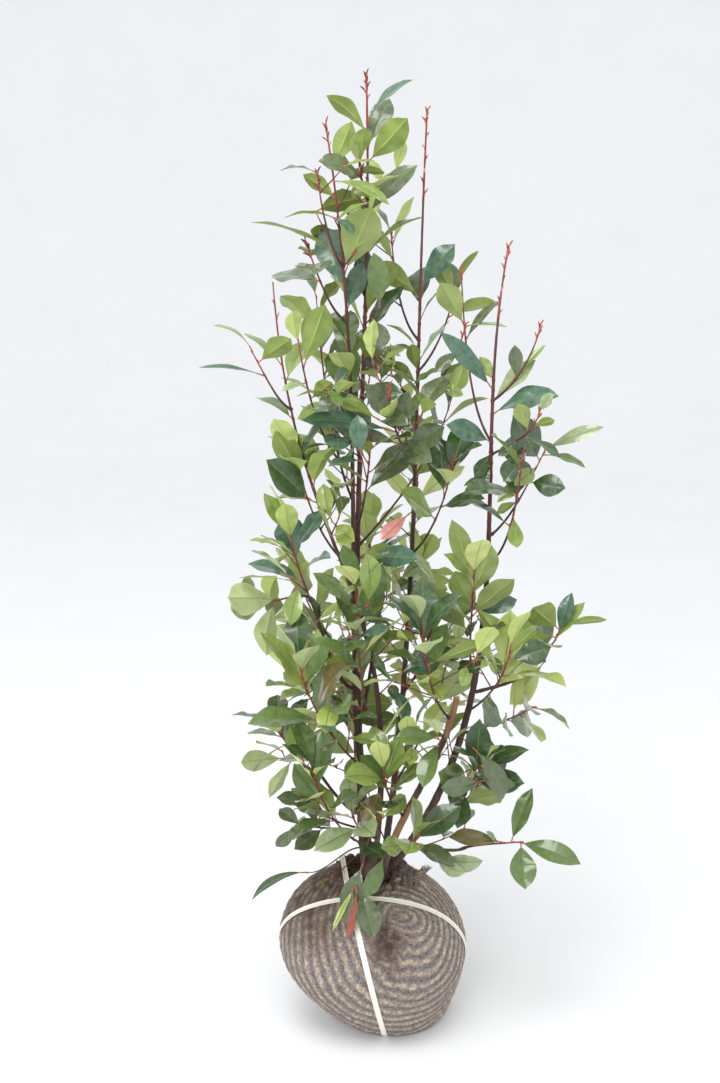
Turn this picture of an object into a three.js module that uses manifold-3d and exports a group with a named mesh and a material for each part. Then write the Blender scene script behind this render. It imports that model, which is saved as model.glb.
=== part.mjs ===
// A container-sized photinia "Red Robin": a many-stemmed evergreen shrub on its wrapped and strapped
// root ball. Millimetres, +Z up, X to the right and -Y to the front; the origin is the middle of the
// ball's flat underside.
import * as THREE from "three";
import { mergeVertices } from "three/addons/utils/BufferGeometryUtils.js";
import Module from "manifold-3d";

const wasm = await Module();
wasm.setup();

// ---- driving dimensions: millimetres, degrees, and shares of a length ----

const GAP = 0.3; // clearance between neighbouring pieces
const RIGHT = new THREE.Vector3(1, 0, 0);
const UP = new THREE.Vector3(0, 0, 1);

// The ball: radius at each height, from the flat underside up to the neck round the stems.
const BALL_PROFILE = [
  [0, 86], [12, 98], [32, 113], [60, 130], [92, 145], [122, 153], [150, 153], [176, 146],
  [198, 134], [216, 117], [230, 97], [240, 76],
];
const BALL_SIDES = 36;
const BALL_HEIGHT = BALL_PROFILE[BALL_PROFILE.length - 1][0];
const BALL_LEAN = -40; // how far the neck lies left of the underside
const BALL_LEAN_EARLY = 0.75; // under 1, most of the lean is low down
const BALL_LUMPS = [[2, 0.022, 40], [3, 0.02, 200], [5, 0.012, 75]]; // waves round, depth, first crest

// Round things on the ball's top, all about the stems' foot.
const FOOT = new THREE.Vector3(-30, -3, BALL_HEIGHT + GAP);
const SOIL_PROFILE = [[0, 0], [32.6, 0], [32.6, 8], [30.5, 12], [0, 12]]; // radius, height
const SOIL_SIDES = 20;
const SOIL_TOP = FOOT.z + 12;
// The wrap's gathered rim: radius, height, and how far that corner follows the pleats.
const COLLAR_PROFILE = [[33.2, 0, 0], [39, 0, 0], [40, 8, 0.6], [42, 19, 1], [37, 21, 1], [34, 9, 0.2]];
const COLLAR = { pleats: 9, waves: 2, ripple: 3.5, rise: 3, steps: 36 };

// A strap lies on the ball's skin, and in a groove of it where the ball bulges and underneath.
const STRAP = { width: 10, thick: 1.4, clear: 0.9, sunk: 0.3, steps: 64 };
// How one strap climbs over the other: clearance between them, and distances where it is up and down.
const STRAP_HUMP = { clear: 1.8, flat: 17, end: 42 };
const STRAP_SINKS = 14; // height below which a strap goes down into its groove
const GROOVE_SPARE = 0.6; // room round the strap in its groove
const GROOVE_OVERCUT = 4; // how far the cut goes out past the skin
// Each strap lies in one plane round the ball: a point of it and the plane's normal.
const STRAP_ACROSS = { through: [-30, -20, 138], normal: [0.03, 0.9, 0.44] };
const STRAP_OVER = { through: [-22, 0, 0], normal: [0.971, 0.087, 0.223] };

const FORK_HEIGHT = 56; // length of each stem that belongs to the trunk
const BELOW_CUT = 16; // length by which a stem is drawn on below the trunk's flat cut
const FLARE_PROFILE = [[0, -2], [30, -2], [25, 7], [19, 17], [14, 30], [0, 34]]; // radius, height
const CUT_BOX = 400; // any size that holds the trunk
const STEM_SIDES = 7;
const STEM_STEP = 45; // length of one straight facet of a stem or bough
const BOUGH_SIDES = 6;
const TWIG_SIDES = 3;
const TWIG_STEP = 80; // longest facet of a twig, or nearly
const TWIG_FACET = 8; // and its shortest

// Stems: foot, two handles and tip of a cubic curve, the radius at foot and tip, and the share of
// the stem where its crown of leaves takes over.
const STEMS = [
  {
    name: "leader", thick: [6.5, 1.3], crown: 0.62,
    curve: [[-36, 2, SOIL_TOP], [-94, 5, 683], [-33, 1, 1100], [-47, 0, 1518]],
  },
  {
    name: "left", thick: [5.5, 1.2], crown: 0.6,
    curve: [[-48, -8, SOIL_TOP], [-85, 1, 662], [-41, -29, 1057], [-105, -50, 1446]],
  },
  {
    name: "right", thick: [5.5, 1.2], crown: 0.6,
    curve: [[-19, 13, SOIL_TOP], [42, 44, 673], [28, 70, 1056], [44, 50, 1468]],
  },
  {
    name: "far_right", thick: [7, 1.2], crown: 0.62,
    curve: [[-11, -1, SOIL_TOP], [226, 42, 543], [106, -25, 938], [163, -20, 1272]],
  },
  {
    name: "far_left", thick: [5, 1.1], crown: 0.6,
    curve: [[-35, -19, SOIL_TOP], [27, -118, 826], [-154, -18, 751], [-187, 10, 1217]],
  },
  {
    name: "pruned", thick: [6, 4.6], crown: 1,
    curve: [[-20, -17, SOIL_TOP], [2, -44, 384], [76, -79, 475], [94, -80, 591]],
  },
];

// Boughs: bare side limbs, from a place on a stem to their tip, which they reach rising a little.
const BOUGHS = [
  { name: "bough_right", from: "far_right", at: 0.33, tip: [206, -14, 606], thick: [3.2, 2.2] },
  { name: "bough_low_right", from: "far_right", at: 0.06, tip: [112, -52, 322], thick: [3.4, 2.4] },
  { name: "bough_left", from: "left", at: 0.27, tip: [-122, -30, 700], thick: [3, 2.2] },
  { name: "bough_low_left", from: "left", at: 0.09, tip: [-124, 6, 432], thick: [3, 2.2] },
  { name: "bough_back", from: "leader", at: 0.2, tip: [-30, 110, 640], thick: [3.4, 2.2] },
];

// Shoots: the mass each belongs to, what it grows from and where (1 is that limb's tip), its tip, and
// the number and length of its leaves. A shoot that names its own mass as its origin is fused to that
// mass's main shoot; one without a tip is the end of its stem. The last leaf points the way the shoot
// itself goes, or to the compass heading turn (0 right, 90 back). Leaves that are told a facing turn
// their upper side to it. bare and top are the shares of the shoot between which leaves stand, in
// flushes; pitch is their first and last angle from the shoot; rise is as for SHOOT_RISE.
const SHOOTS = [
  {
    mass: "leader_crown", from: "leader", at: 0.62,
    leaves: 15, leaf: 100, turn: 20, bare: 0.02, top: 0.86, flushes: 3,
  },
  {
    mass: "left_crown", from: "left", at: 0.6,
    leaves: 12, leaf: 98, turn: 195, bare: 0.02, top: 0.88, flushes: 3,
  },
  {
    mass: "right_crown", from: "right", at: 0.6,
    leaves: 9, leaf: 92, turn: 10, bare: 0.02, top: 0.5, flushes: 2,
  },
  {
    mass: "far_right_crown", from: "far_right", at: 0.62,
    leaves: 8, leaf: 88, turn: 0, bare: 0.02, top: 0.5, flushes: 2,
  },
  {
    mass: "far_left_crown", from: "far_left", at: 0.6,
    leaves: 9, leaf: 92, turn: 180, bare: 0.02, top: 0.8, flushes: 2,
  },
  {
    mass: "leader_crown", from: "leader_crown", at: 0.86, tip: [-57, -40, 1398],
    leaves: 4, leaf: 84, turn: 290,
  },
  { mass: "left_crown", from: "left_crown", at: 0.83, tip: [-116, -90, 1380], leaves: 4, leaf: 84 },
  {
    mass: "left_crown", from: "left_crown", at: 0.76, tip: [-136, -40, 1282],
    leaves: 4, leaf: 104, pitch: [72, 66], rise: 0.2,
  },
  { mass: "right_crown", from: "right_crown", at: 0.72, tip: [-8, 90, 1290], leaves: 4, leaf: 88 },
  { mass: "right_crown", from: "right_crown", at: 0.68, tip: [92, 96, 1205], leaves: 5, leaf: 92 },
  {
    mass: "right_crown", from: "right_crown", at: 0.64, tip: [104, 22, 1153],
    leaves: 4, leaf: 80, turn: 330,
  },
  {
    mass: "far_right_crown", from: "far_right_crown", at: 0.72, tip: [98, 40, 1239],
    leaves: 4, leaf: 74, top: 0.7,
  },
  {
    mass: "far_right_crown", from: "far_right_crown", at: 0.78, tip: [210, -50, 1161],
    leaves: 4, leaf: 74, top: 0.6,
  },
  {
    mass: "far_right_crown", from: "far_right_crown", at: 0.7, tip: [208, -90, 1040],
    leaves: 7, leaf: 88,
  },
  {
    mass: "far_left_crown", from: "far_left_crown", at: 0.84, tip: [-218, -20, 1118],
    leaves: 3, leaf: 104, pitch: [74, 66], rise: 0.1,
  },
  {
    mass: "left_inner", from: "left", at: 0.57, tip: [-150, -80, 1177],
    leaves: 6, leaf: 88, turn: 250, top: 0.85,
  },
  { mass: "left_back", from: "left", at: 0.53, tip: [-124, 90, 1190], leaves: 6, leaf: 94 },
  {
    mass: "front_red", from: "right", at: 0.55, tip: [-14, -120, 1079],
    leaves: 8, leaf: 86, top: 0.75,
  },
  { mass: "back_centre", from: "leader", at: 0.44, tip: [97, 140, 1047], leaves: 7, leaf: 88 },
  {
    mass: "right_upper", from: "far_right", at: 0.54, tip: [189, -60, 974],
    leaves: 10, leaf: 96, pitch: [62, 40],
  },
  {
    mass: "right_outer", from: "far_right", at: 0.58, tip: [232, 20, 962],
    leaves: 8, leaf: 98, pitch: [66, 56], rise: 0.2,
  },
  {
    mass: "right_middle", from: "bough_right", at: 1, tip: [258, -30, 690],
    leaves: 8, leaf: 88, pitch: [62, 50],
  },
  {
    mass: "right_middle", from: "right_middle", at: 0.4, tip: [246, 60, 612],
    leaves: 5, leaf: 88, pitch: [70, 55],
  },
  {
    mass: "right_front", from: "far_right", at: 0.3, tip: [172, -110, 680],
    leaves: 9, leaf: 102, pitch: [40, 18],
  },
  {
    mass: "right_low", from: "far_right", at: 0.26, tip: [224, 10, 540],
    leaves: 7, leaf: 98, pitch: [66, 60], rise: 0.2,
  },
  {
    mass: "right_under", from: "far_right", at: 0.16, tip: [132, -90, 480],
    leaves: 9, leaf: 90, pitch: [44, 20],
  },
  {
    mass: "low_right_end", from: "bough_low_right", at: 1, tip: [202, -66, 340],
    leaves: 6, leaf: 104, facing: [0, -1, 0.5], pitch: [80, 62], rise: 0,
  },
  { mass: "low_right_back", from: "far_right", at: 0.08, tip: [150, 70, 400], leaves: 8, leaf: 86 },
  {
    mass: "pruned_shoot", from: "pruned", at: 0.9, tip: [35, -140, 730],
    leaves: 9, leaf: 98, turn: 260, pitch: [40, 18],
  },
  {
    mass: "twin_shoot", from: "far_right", at: 0.36, tip: [118, -70, 806],
    leaves: 11, leaf: 100, top: 0.9, pitch: [40, 20],
  },
  {
    mass: "left_middle", from: "bough_left", at: 1, tip: [-163, -40, 848],
    leaves: 9, leaf: 90, turn: 190,
  },
  {
    mass: "left_middle", from: "left_middle", at: 0.3, tip: [-213, 0, 720],
    leaves: 7, leaf: 98, pitch: [70, 62], rise: 0.1,
  },
  { mass: "left_middle_back", from: "left", at: 0.3, tip: [-150, 90, 723], leaves: 9, leaf: 94 },
  {
    mass: "left_front", from: "far_left", at: 0.13, tip: [-149, -110, 660],
    leaves: 11, leaf: 102, pitch: [40, 18],
  },
  {
    mass: "low_left_end", from: "bough_low_left", at: 1, tip: [-190, 0, 510],
    leaves: 8, leaf: 84, pitch: [66, 56],
  },
  {
    mass: "low_left_end", from: "low_left_end", at: 0.3, tip: [-185, 64, 440],
    leaves: 5, leaf: 84, pitch: [70, 60],
  },
  {
    mass: "low_left_front", from: "left", at: 0.05, tip: [-130, -110, 490],
    leaves: 9, leaf: 92, pitch: [40, 18],
  },
  { mass: "low_left_inner", from: "left", at: 0.07, tip: [-122, -54, 400], leaves: 8, leaf: 84 },
  {
    mass: "foot_left", from: "left", at: 0.06, tip: [-158, -10, 342],
    leaves: 7, leaf: 60, facing: [0, -1, 1], pitch: [70, 50], rise: 0,
  },
  {
    mass: "foot_front", from: "far_left", at: 0.07, tip: [-60, -84, 272],
    leaves: 4, leaf: 84, facing: [0, -1, 0.5], bare: 0.5, pitch: [34, 12], rise: -0.5,
  },
  {
    mass: "low_centre", from: "far_left", at: 0.05, tip: [-70, -96, 410],
    leaves: 8, leaf: 84, turn: 270, pitch: [40, 20],
  },
  {
    mass: "front_centre", from: "pruned", at: 0.35, tip: [-19, -110, 480],
    leaves: 9, leaf: 88, pitch: [40, 20],
  },
  { mass: "low_front", from: "pruned", at: 0.2, tip: [34, -110, 372], leaves: 7, leaf: 88 },
  {
    mass: "middle_front", from: "far_left", at: 0.2, tip: [-62, -120, 778],
    leaves: 10, leaf: 96, pitch: [40, 18],
  },
  { mass: "middle_right", from: "right", at: 0.25, tip: [66, -40, 760], leaves: 9, leaf: 94 },
  { mass: "upper_front", from: "leader", at: 0.47, tip: [-40, -80, 1000], leaves: 8, leaf: 92 },
  { mass: "upper_right", from: "right", at: 0.44, tip: [84, -30, 950], leaves: 7, leaf: 90 },
  { mass: "upper_left", from: "left", at: 0.44, tip: [-150, -40, 960], leaves: 8, leaf: 92 },
  { mass: "back_low", from: "bough_back", at: 1, tip: [-40, 180, 800], leaves: 9, leaf: 94 },
  { mass: "back_low", from: "back_low", at: 0.3, tip: [40, 200, 720], leaves: 8, leaf: 94 },
  { mass: "back_foot", from: "leader", at: 0.1, tip: [-60, 160, 470], leaves: 9, leaf: 92 },
  { mass: "back_right", from: "right", at: 0.12, tip: [90, 160, 560], leaves: 10, leaf: 94 },
  { mass: "back_left", from: "left", at: 0.2, tip: [-150, 140, 600], leaves: 9, leaf: 94 },
  { mass: "back_upper", from: "right", at: 0.42, tip: [40, 160, 920], leaves: 9, leaf: 94 },
  { mass: "back_top", from: "leader", at: 0.55, tip: [-80, 120, 1080], leaves: 6, leaf: 92 },
];

const BOUGH_RISE = 0.3; // as for a shoot
const SHOOT_RISE = 0.7; // how far a shoot turns upright towards its tip: 0 straight on, 1 upright
const SHOOT_THICK = [2.1, 0.9]; // radius at its foot and at its tip
const SHOOT_SLANT = 33; // how far a shoot's foot leans along its limb
const LEAF_BARE = 0.25; // share of a shoot below its first leaf
const LEAF_CROWD = 0.6; // under 1, leaves crowd towards the end of their flush
const LEAF_SPIRAL = 137.5; // from one leaf's heading to the next
const LEAF_PITCH = [46, 22]; // angle from the shoot at its first and last leaf
const LEAF_WIDTH = 0.44; // of its length
const LEAF_WIDEST = 0.58; // share of its length where a leaf is widest
const LEAF_THICK = 1.6;
const LEAF_SUNK = 0.8; // how far beyond the twig's axis its root lies
const LEAF_SPARE = 0.6; // clearance kept round a new leaf
const LEAF_TRIES = [0, 24, -24, 48, -48, 72, -72]; // turns tried before a leaf is left out
const LEAF_SEED = 1009;
// A leaf grows to this share of its shoot's leaf length: least at the ends of a flush.
const LEAF_GROWTH = { least: 0.72, more: 0.34, first: 0.25, span: 0.62 };
// What the die decides for each leaf, in this order: degrees, but size and fold are shares.
const LEAF_ROLLS = {
  heading: [-14, 14], pitch: [-14, 14], size: [0.84, 1.12],
  twist: [-38, 38], arch: [2, 28], fold: [0.1, 0.28],
};

// Colour and roughness.
const COLOURS = {
  wrap: [0x7d6f63, 1], strap: [0xe9e4d6, 0.6], soil: [0x33261c, 1], bark: [0x4a3530, 0.8],
  cut_bark: [0x8a6848, 0.8], foliage: [0x5f7f3a, 0.45],
};

// ---- small helpers ----

const vector = (place) => new THREE.Vector3(...place);
const radians = THREE.MathUtils.degToRad;
const blend = THREE.MathUtils.lerp;

// A seeded die: the same rolls in the same order every time.
class Dice {
  constructor(seed) {
    this.state = seed >>> 0;
  }

  roll(low, high) {
    this.state = (Math.imul(this.state, 1664525) + 1013904223) >>> 0;
    return low + (high - low) * (this.state / 4294967296);
  }
}

function solid(places, faces) {
  const vertProperties = new Float32Array(places.flatMap((place) => place.toArray()));
  const triVerts = new Uint32Array(faces.flat());
  return new wasm.Manifold(new wasm.Mesh({ numProp: 3, vertProperties, triVerts }));
}

function fromGeometry(geometry) {
  geometry.deleteAttribute("normal");
  geometry.deleteAttribute("uv");
  const { attributes, index } = mergeVertices(geometry, 1e-4);
  const mesh = { numProp: 3, vertProperties: attributes.position.array, triVerts: index.array };
  mesh.triVerts = new Uint32Array(mesh.triVerts);
  return new wasm.Manifold(new wasm.Mesh(mesh));
}

// A body lofted through rings of equally many points; a closed loft joins its last ring to its first.
function loft(rings, closed = false) {
  const sides = rings[0].length;
  const spans = closed ? rings.length : rings.length - 1;
  const last = (rings.length - 1) * sides;
  const faces = [];
  for (let i = 0; i < spans; i++) {
    const low = i * sides;
    const high = ((i + 1) % rings.length) * sides;
    for (let k = 0; k < sides; k++) {
      const next = (k + 1) % sides;
      faces.push([low + k, low + next, high + next], [low + k, high + next, high + k]);
    }
  }
  for (let k = 1; !closed && k + 1 < sides; k++) {
    faces.push([0, k + 1, k], [last, last + k, last + k + 1]);
  }
  return solid(rings.flat(), faces);
}

// A circle of points round a centre, across the given axis; start is any vector not along the axis.
function circle(centre, axis, start, radius, sides) {
  const across = start.clone().projectOnPlane(axis).normalize();
  const other = axis.clone().cross(across);
  const points = [];
  for (let k = 0; k < sides; k++) {
    const angle = (2 * Math.PI * k) / sides;
    const offset = across.clone().multiplyScalar(radius * Math.cos(angle));
    points.push(offset.addScaledVector(other, radius * Math.sin(angle)).add(centre));
  }
  return points;
}

// ---- limbs: a stem, bough or shoot is a cubic curve that tapers evenly ----

// across is the way from its middle line to the first corner of its section.
function makeLimb(places, thick, across = RIGHT) {
  const curve = new THREE.CubicBezierCurve3(...places.map(vector));
  return { curve, across, radius: (t) => blend(thick[0], thick[1], t) };
}

// Even places from start to end, with facets of about the given length.
function evenPlaces(limb, start, end, facet) {
  const steps = Math.max(3, Math.round((limb.curve.getLength() * (end - start)) / facet));
  return Array.from({ length: steps + 1 }, (_, i) => blend(start, end, i / steps));
}

function limbSolid(limb, places, sides) {
  let across = limb.across.clone();
  return loft(places.map((t) => {
    const tangent = limb.curve.getTangent(t);
    if (Math.abs(across.dot(tangent)) > 0.95) {
      across = UP.clone();
    }
    across.projectOnPlane(tangent).normalize();
    return circle(limb.curve.getPoint(t), tangent, across, limb.radius(t), sides);
  }));
}

// A side limb leaves its parent slantwise just clear of the bark, goes on from the parent's tip, or is
// rooted on the parent's axis where the two are fused. It rises towards its own tip.
function sideLimb(parent, at, tip, rise, thick, fused) {
  const foot = parent.curve.getPoint(at);
  const along = parent.curve.getTangent(at);
  const goal = vector(tip);
  const out = goal.clone().sub(foot).projectOnPlane(along).normalize();
  const slant = at === 1 ? Math.PI / 2 : radians(SHOOT_SLANT);
  const leave = out.clone().multiplyScalar(Math.cos(slant)).addScaledVector(along, Math.sin(slant));
  const inward = along.clone().multiplyScalar(Math.cos(slant)).addScaledVector(out, -Math.sin(slant));
  if (at === 1) {
    foot.addScaledVector(along, GAP);
  } else if (!fused) {
    foot.addScaledVector(out, parent.radius(at) + GAP + thick[0] * Math.sin(slant));
  }
  const reach = goal.clone().sub(foot);
  const lower = foot.clone().addScaledVector(leave, reach.length() / 4);
  const ending = reach.clone().normalize().lerp(UP, rise).normalize();
  const upper = goal.clone().addScaledVector(ending, -reach.length() / 3);
  return makeLimb([foot.toArray(), lower.toArray(), upper.toArray(), goal.toArray()], thick, inward);
}

// ---- leaves ----

// Where a leaf's middle line lies at a share of its length, and its upper side's direction there.
function leafSpine(leaf, share) {
  const bend = leaf.arch * share;
  const curl = leaf.length / leaf.arch;
  const place = leaf.root.clone().addScaledVector(leaf.along, curl * Math.sin(bend));
  place.addScaledVector(leaf.face, curl * (Math.cos(bend) - 1));
  const face = leaf.face.clone().multiplyScalar(Math.cos(bend)).addScaledVector(leaf.along, Math.sin(bend));
  return { place, face };
}

// A leaf of eight faces, widest past its middle and folded a little along its midrib: it is pointed
// at root and tip.
function leafSolid(leaf, spare = 0) {
  const side = leaf.along.clone().cross(leaf.face);
  const { place, face } = leafSpine(leaf, LEAF_WIDEST);
  const reach = leaf.width / 2 + spare;
  const raised = place.clone().addScaledVector(face, reach * leaf.fold);
  const lift = LEAF_THICK / 2 + spare;
  const rim = [
    leaf.root,
    raised.clone().addScaledVector(side, reach),
    leafSpine(leaf, 1 + spare / leaf.length).place,
    raised.clone().addScaledVector(side, -reach),
  ];
  const top = place.clone().addScaledVector(face, lift);
  const bottom = place.clone().addScaledVector(face, -lift);
  const faces = rim.flatMap((_, k) => [[k, (k + 1) % 4, 4], [(k + 1) % 4, k, 5]]);
  return solid([...rim, top, bottom], faces);
}

// The leaf of a shoot that stands at share t, with its own size, heading and hang.
function makeLeaf(shoot, limb, t, grown, heading, rolls) {
  const tangent = limb.curve.getTangent(t);
  const compass = new THREE.Vector3(Math.cos(radians(heading)), Math.sin(radians(heading)), 0);
  const out = compass.projectOnPlane(tangent).normalize();
  const pitch = radians(blend(...(shoot.pitch ?? LEAF_PITCH), grown) + rolls.pitch);
  const along = tangent.clone().multiplyScalar(Math.cos(pitch)).addScaledVector(out, Math.sin(pitch));
  const inner = tangent.clone().multiplyScalar(Math.sin(pitch)).addScaledVector(out, -Math.cos(pitch));
  const face = shoot.facing ? vector(shoot.facing).projectOnPlane(along).normalize() : inner;
  face.applyAxisAngle(along, radians(rolls.twist));
  const swell = Math.sin(Math.PI * (LEAF_GROWTH.first + LEAF_GROWTH.span * grown));
  const length = shoot.leaf * rolls.size * (LEAF_GROWTH.least + LEAF_GROWTH.more * swell);
  const root = limb.curve.getPoint(t).addScaledVector(along, -LEAF_SUNK);
  const arch = radians(rolls.arch);
  return { root, along, face, length, width: length * LEAF_WIDTH, arch, fold: rolls.fold };
}

// ---- the plant's growth: what stands already, and what a new leaf must clear ----

const limbs = {};
const nodes = [];
const standing = [];

function occupy(node, kind, shape) {
  standing.push({ node, kind, shape, box: shape.boundingBox() });
}

function boxesMeet(one, other) {
  return [0, 1, 2].every((axis) => one.min[axis] <= other.max[axis] && other.min[axis] <= one.max[axis]);
}

// Whether a shape keeps clear of every other piece, and of the blades of its own mass.
function keepsClear(node, shape) {
  const box = shape.boundingBox();
  return standing.every((other) => {
    const own = other.node === node && other.kind === "wood";
    return own || !boxesMeet(box, other.box) || shape.intersect(other.shape).isEmpty();
  });
}

function addNode(name, shape, colour) {
  nodes.push({ name, shape, colour });
  occupy(name, "wood", shape);
}

// ---- the root ball with its straps, soil and gathered rim ----

function ballRadius(height, angle) {
  const above = Math.max(1, BALL_PROFILE.findIndex(([level]) => level >= height));
  const [low, lowRadius] = BALL_PROFILE[above - 1];
  const [high, highRadius] = BALL_PROFILE[above];
  const radius = blend(lowRadius, highRadius, (height - low) / (high - low));
  const lump = ([waves, depth, crest]) => depth * Math.cos(waves * (angle - radians(crest)));
  const lumps = BALL_LUMPS.reduce((sum, wave) => sum + lump(wave), 0);
  return radius * (1 + lumps * Math.sin((Math.PI * height) / BALL_HEIGHT));
}

function ballAxis(height) {
  return BALL_LEAN * Math.sin((Math.PI / 2) * (height / BALL_HEIGHT) ** BALL_LEAN_EARLY);
}

function ballSolid() {
  return loft(BALL_PROFILE.map(([height]) => {
    const centre = new THREE.Vector3(ballAxis(height), 0, height);
    const ring = circle(centre, UP, RIGHT, 1, BALL_SIDES);
    ring.forEach((place, k) => {
      place.sub(centre).multiplyScalar(ballRadius(height, (2 * Math.PI * k) / BALL_SIDES)).add(centre);
    });
    return ring;
  }));
}

// How deep a place lies under the ball's skin; below zero outside.
function ballDepth(place) {
  const height = THREE.MathUtils.clamp(place.z, 0, BALL_HEIGHT);
  const across = place.x - ballAxis(height);
  const wall = ballRadius(height, Math.atan2(place.y, across)) - Math.hypot(across, place.y);
  return Math.min(wall, place.z, BALL_HEIGHT - place.z);
}

function ballOutward(place) {
  const slope = [0, 1, 2].map((axis) => {
    const step = new THREE.Vector3().setComponent(axis, 0.5);
    return ballDepth(place.clone().sub(step)) - ballDepth(place.clone().add(step));
  });
  return vector(slope).normalize();
}

// The loop where a strap's plane meets the ball's skin, with the direction of travel and outward.
function strapLoop({ through, normal }) {
  const pole = vector(normal).normalize();
  const middle = vector(through);
  const centre = new THREE.Vector3(ballAxis(BALL_HEIGHT / 2), 0, BALL_HEIGHT / 2);
  centre.addScaledVector(pole, middle.sub(centre).dot(pole));
  const places = circle(centre, pole, UP, 2 * BALL_HEIGHT, STRAP.steps).map((far) => {
    let inside = 0;
    let outside = 1;
    for (let halving = 0; halving < 24; halving++) {
      const share = (inside + outside) / 2;
      const within = ballDepth(centre.clone().lerp(far, share)) > 0;
      inside = within ? share : inside;
      outside = within ? outside : share;
    }
    return centre.clone().lerp(far, inside);
  });
  return places.map((place, k) => {
    const before = places.at(k - 1);
    const after = places[(k + 1) % places.length];
    const along = after.clone().sub(before).normalize();
    const out = ballOutward(before).add(ballOutward(place)).add(ballOutward(after));
    return { place, along, out: out.projectOnPlane(along).normalize() };
  });
}

// How far each point of a strap stands out where it crosses the other: over it on top, under it below.
function strapClimb(loop, other) {
  return loop.map(({ place }) => {
    const apart = Math.min(...other.map((point) => point.place.distanceTo(place)));
    const climb = 1 - THREE.MathUtils.smoothstep(apart, STRAP_HUMP.flat, STRAP_HUMP.end);
    return climb * (STRAP.thick + STRAP_HUMP.clear) * (place.z > BALL_HEIGHT / 2 ? 1 : -1);
  });
}

// A band along a loop, with its outer face and inner face moved apart to cut a groove for it.
function bandSolid(loop, climb, width, above, below) {
  return loft(loop.map(({ place, along, out }, k) => {
    const side = along.clone().cross(out).multiplyScalar(width / 2);
    const onSkin = THREE.MathUtils.smoothstep(place.z, 1, STRAP_SINKS);
    const rest = blend(-STRAP.sunk, STRAP.clear + STRAP.thick, onSkin) + climb[k];
    const outer = place.clone().addScaledVector(out, rest + above);
    const inner = place.clone().addScaledVector(out, rest - STRAP.thick - below);
    return [
      outer.clone().sub(side), outer.clone().add(side), inner.clone().add(side), inner.clone().sub(side),
    ];
  }), true);
}

function collarSolid() {
  const rings = [];
  for (let k = 0; k < COLLAR.steps; k++) {
    const angle = (2 * Math.PI * k) / COLLAR.steps;
    const pleat = 0.5 + 0.5 * Math.cos(COLLAR.pleats * angle);
    const sway = Math.sin(COLLAR.waves * angle + 1);
    const ring = COLLAR_PROFILE.map(([radius, height, follows]) => {
      const reach = radius + follows * COLLAR.ripple * pleat;
      const lift = height + follows * COLLAR.rise * (pleat + sway);
      return new THREE.Vector3(reach * Math.cos(angle), reach * Math.sin(angle), lift).add(FOOT);
    });
    rings.push(ring.reverse());
  }
  return loft(rings, true);
}

function lathe(profile, sides, base) {
  const points = profile.map(([radius, height]) => new THREE.Vector2(radius, height));
  const geometry = new THREE.LatheGeometry(points, sides);
  geometry.rotateX(Math.PI / 2);
  geometry.translate(base.x, base.y, base.z);
  return fromGeometry(geometry);
}

function buildBall() {
  const across = strapLoop(STRAP_ACROSS);
  const over = strapLoop(STRAP_OVER);
  const level = across.map(() => 0);
  const climb = strapClimb(over, across);
  const grooveWidth = STRAP.width + 2 * GROOVE_SPARE;
  const groove = (loop, rise) => bandSolid(loop, rise, grooveWidth, GROOVE_OVERCUT, GROOVE_SPARE);
  addNode("root_ball", ballSolid().subtract(groove(across, level)).subtract(groove(over, climb)), "wrap");
  addNode("strap_across", bandSolid(across, level, STRAP.width, 0, 0), "strap");
  addNode("strap_over", bandSolid(over, climb, STRAP.width, 0, 0), "strap");
  addNode("soil", lathe(SOIL_PROFILE, SOIL_SIDES, FOOT), "soil");
  addNode("wrap_collar", collarSolid(), "wrap");
}

// ---- trunk, stems and boughs ----

function buildLimbs() {
  const cut = new THREE.BoxGeometry(CUT_BOX, CUT_BOX, CUT_BOX);
  cut.translate(FOOT.x, FOOT.y, SOIL_TOP + GAP + CUT_BOX / 2);
  let trunk = lathe(FLARE_PROFILE, STEM_SIDES * 2, new THREE.Vector3(FOOT.x, FOOT.y, SOIL_TOP + GAP));
  for (const { name, curve, thick, crown } of STEMS) {
    const limb = makeLimb(curve, thick);
    const share = 1 / limb.curve.getLength();
    const fork = FORK_HEIGHT * share;
    limbs[name] = limb;
    const foot = evenPlaces(limb, -BELOW_CUT * share, fork, STEM_STEP / 3);
    trunk = trunk.add(limbSolid(limb, foot, STEM_SIDES));
    const stem = limbSolid(limb, evenPlaces(limb, fork + GAP * share, crown, STEM_STEP), STEM_SIDES);
    addNode(`stem_${name}`, stem, name === "pruned" ? "cut_bark" : "bark");
  }
  addNode("trunk", trunk.intersect(fromGeometry(cut)), "bark");
  for (const { name, from, at, tip, thick } of BOUGHS) {
    const limb = sideLimb(limbs[from], at, tip, BOUGH_RISE, thick, false);
    limbs[name] = limb;
    addNode(name, limbSolid(limb, evenPlaces(limb, 0, 1, STEM_STEP), BOUGH_SIDES), "bark");
  }
}

// ---- masses: shoots first, then their leaves one by one, each where it keeps clear ----

// The stretch of limb that a shoot is: the end of a stem, or a side limb of its own.
function growShoot(shoot) {
  const parent = limbs[shoot.from];
  if (!shoot.tip) {
    return { limb: parent, start: shoot.at + GAP / parent.curve.getLength() };
  }
  const fused = shoot.from === shoot.mass;
  const rise = shoot.rise ?? SHOOT_RISE;
  return { limb: sideLimb(parent, shoot.at, shoot.tip, rise, SHOOT_THICK, fused), start: 0 };
}

// How far a leaf stands along its flush, and along its whole shoot.
function leafPlace(shoot, index) {
  const flushes = shoot.flushes ?? 1;
  const each = Math.ceil(shoot.leaves / flushes);
  const grown = ((index % each) + 1) / each;
  const bare = shoot.bare ?? LEAF_BARE;
  const top = shoot.top ?? 1;
  const share = (Math.floor(index / each) + grown ** LEAF_CROWD) / flushes;
  return { grown, share: bare + (top - bare) * share };
}

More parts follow.
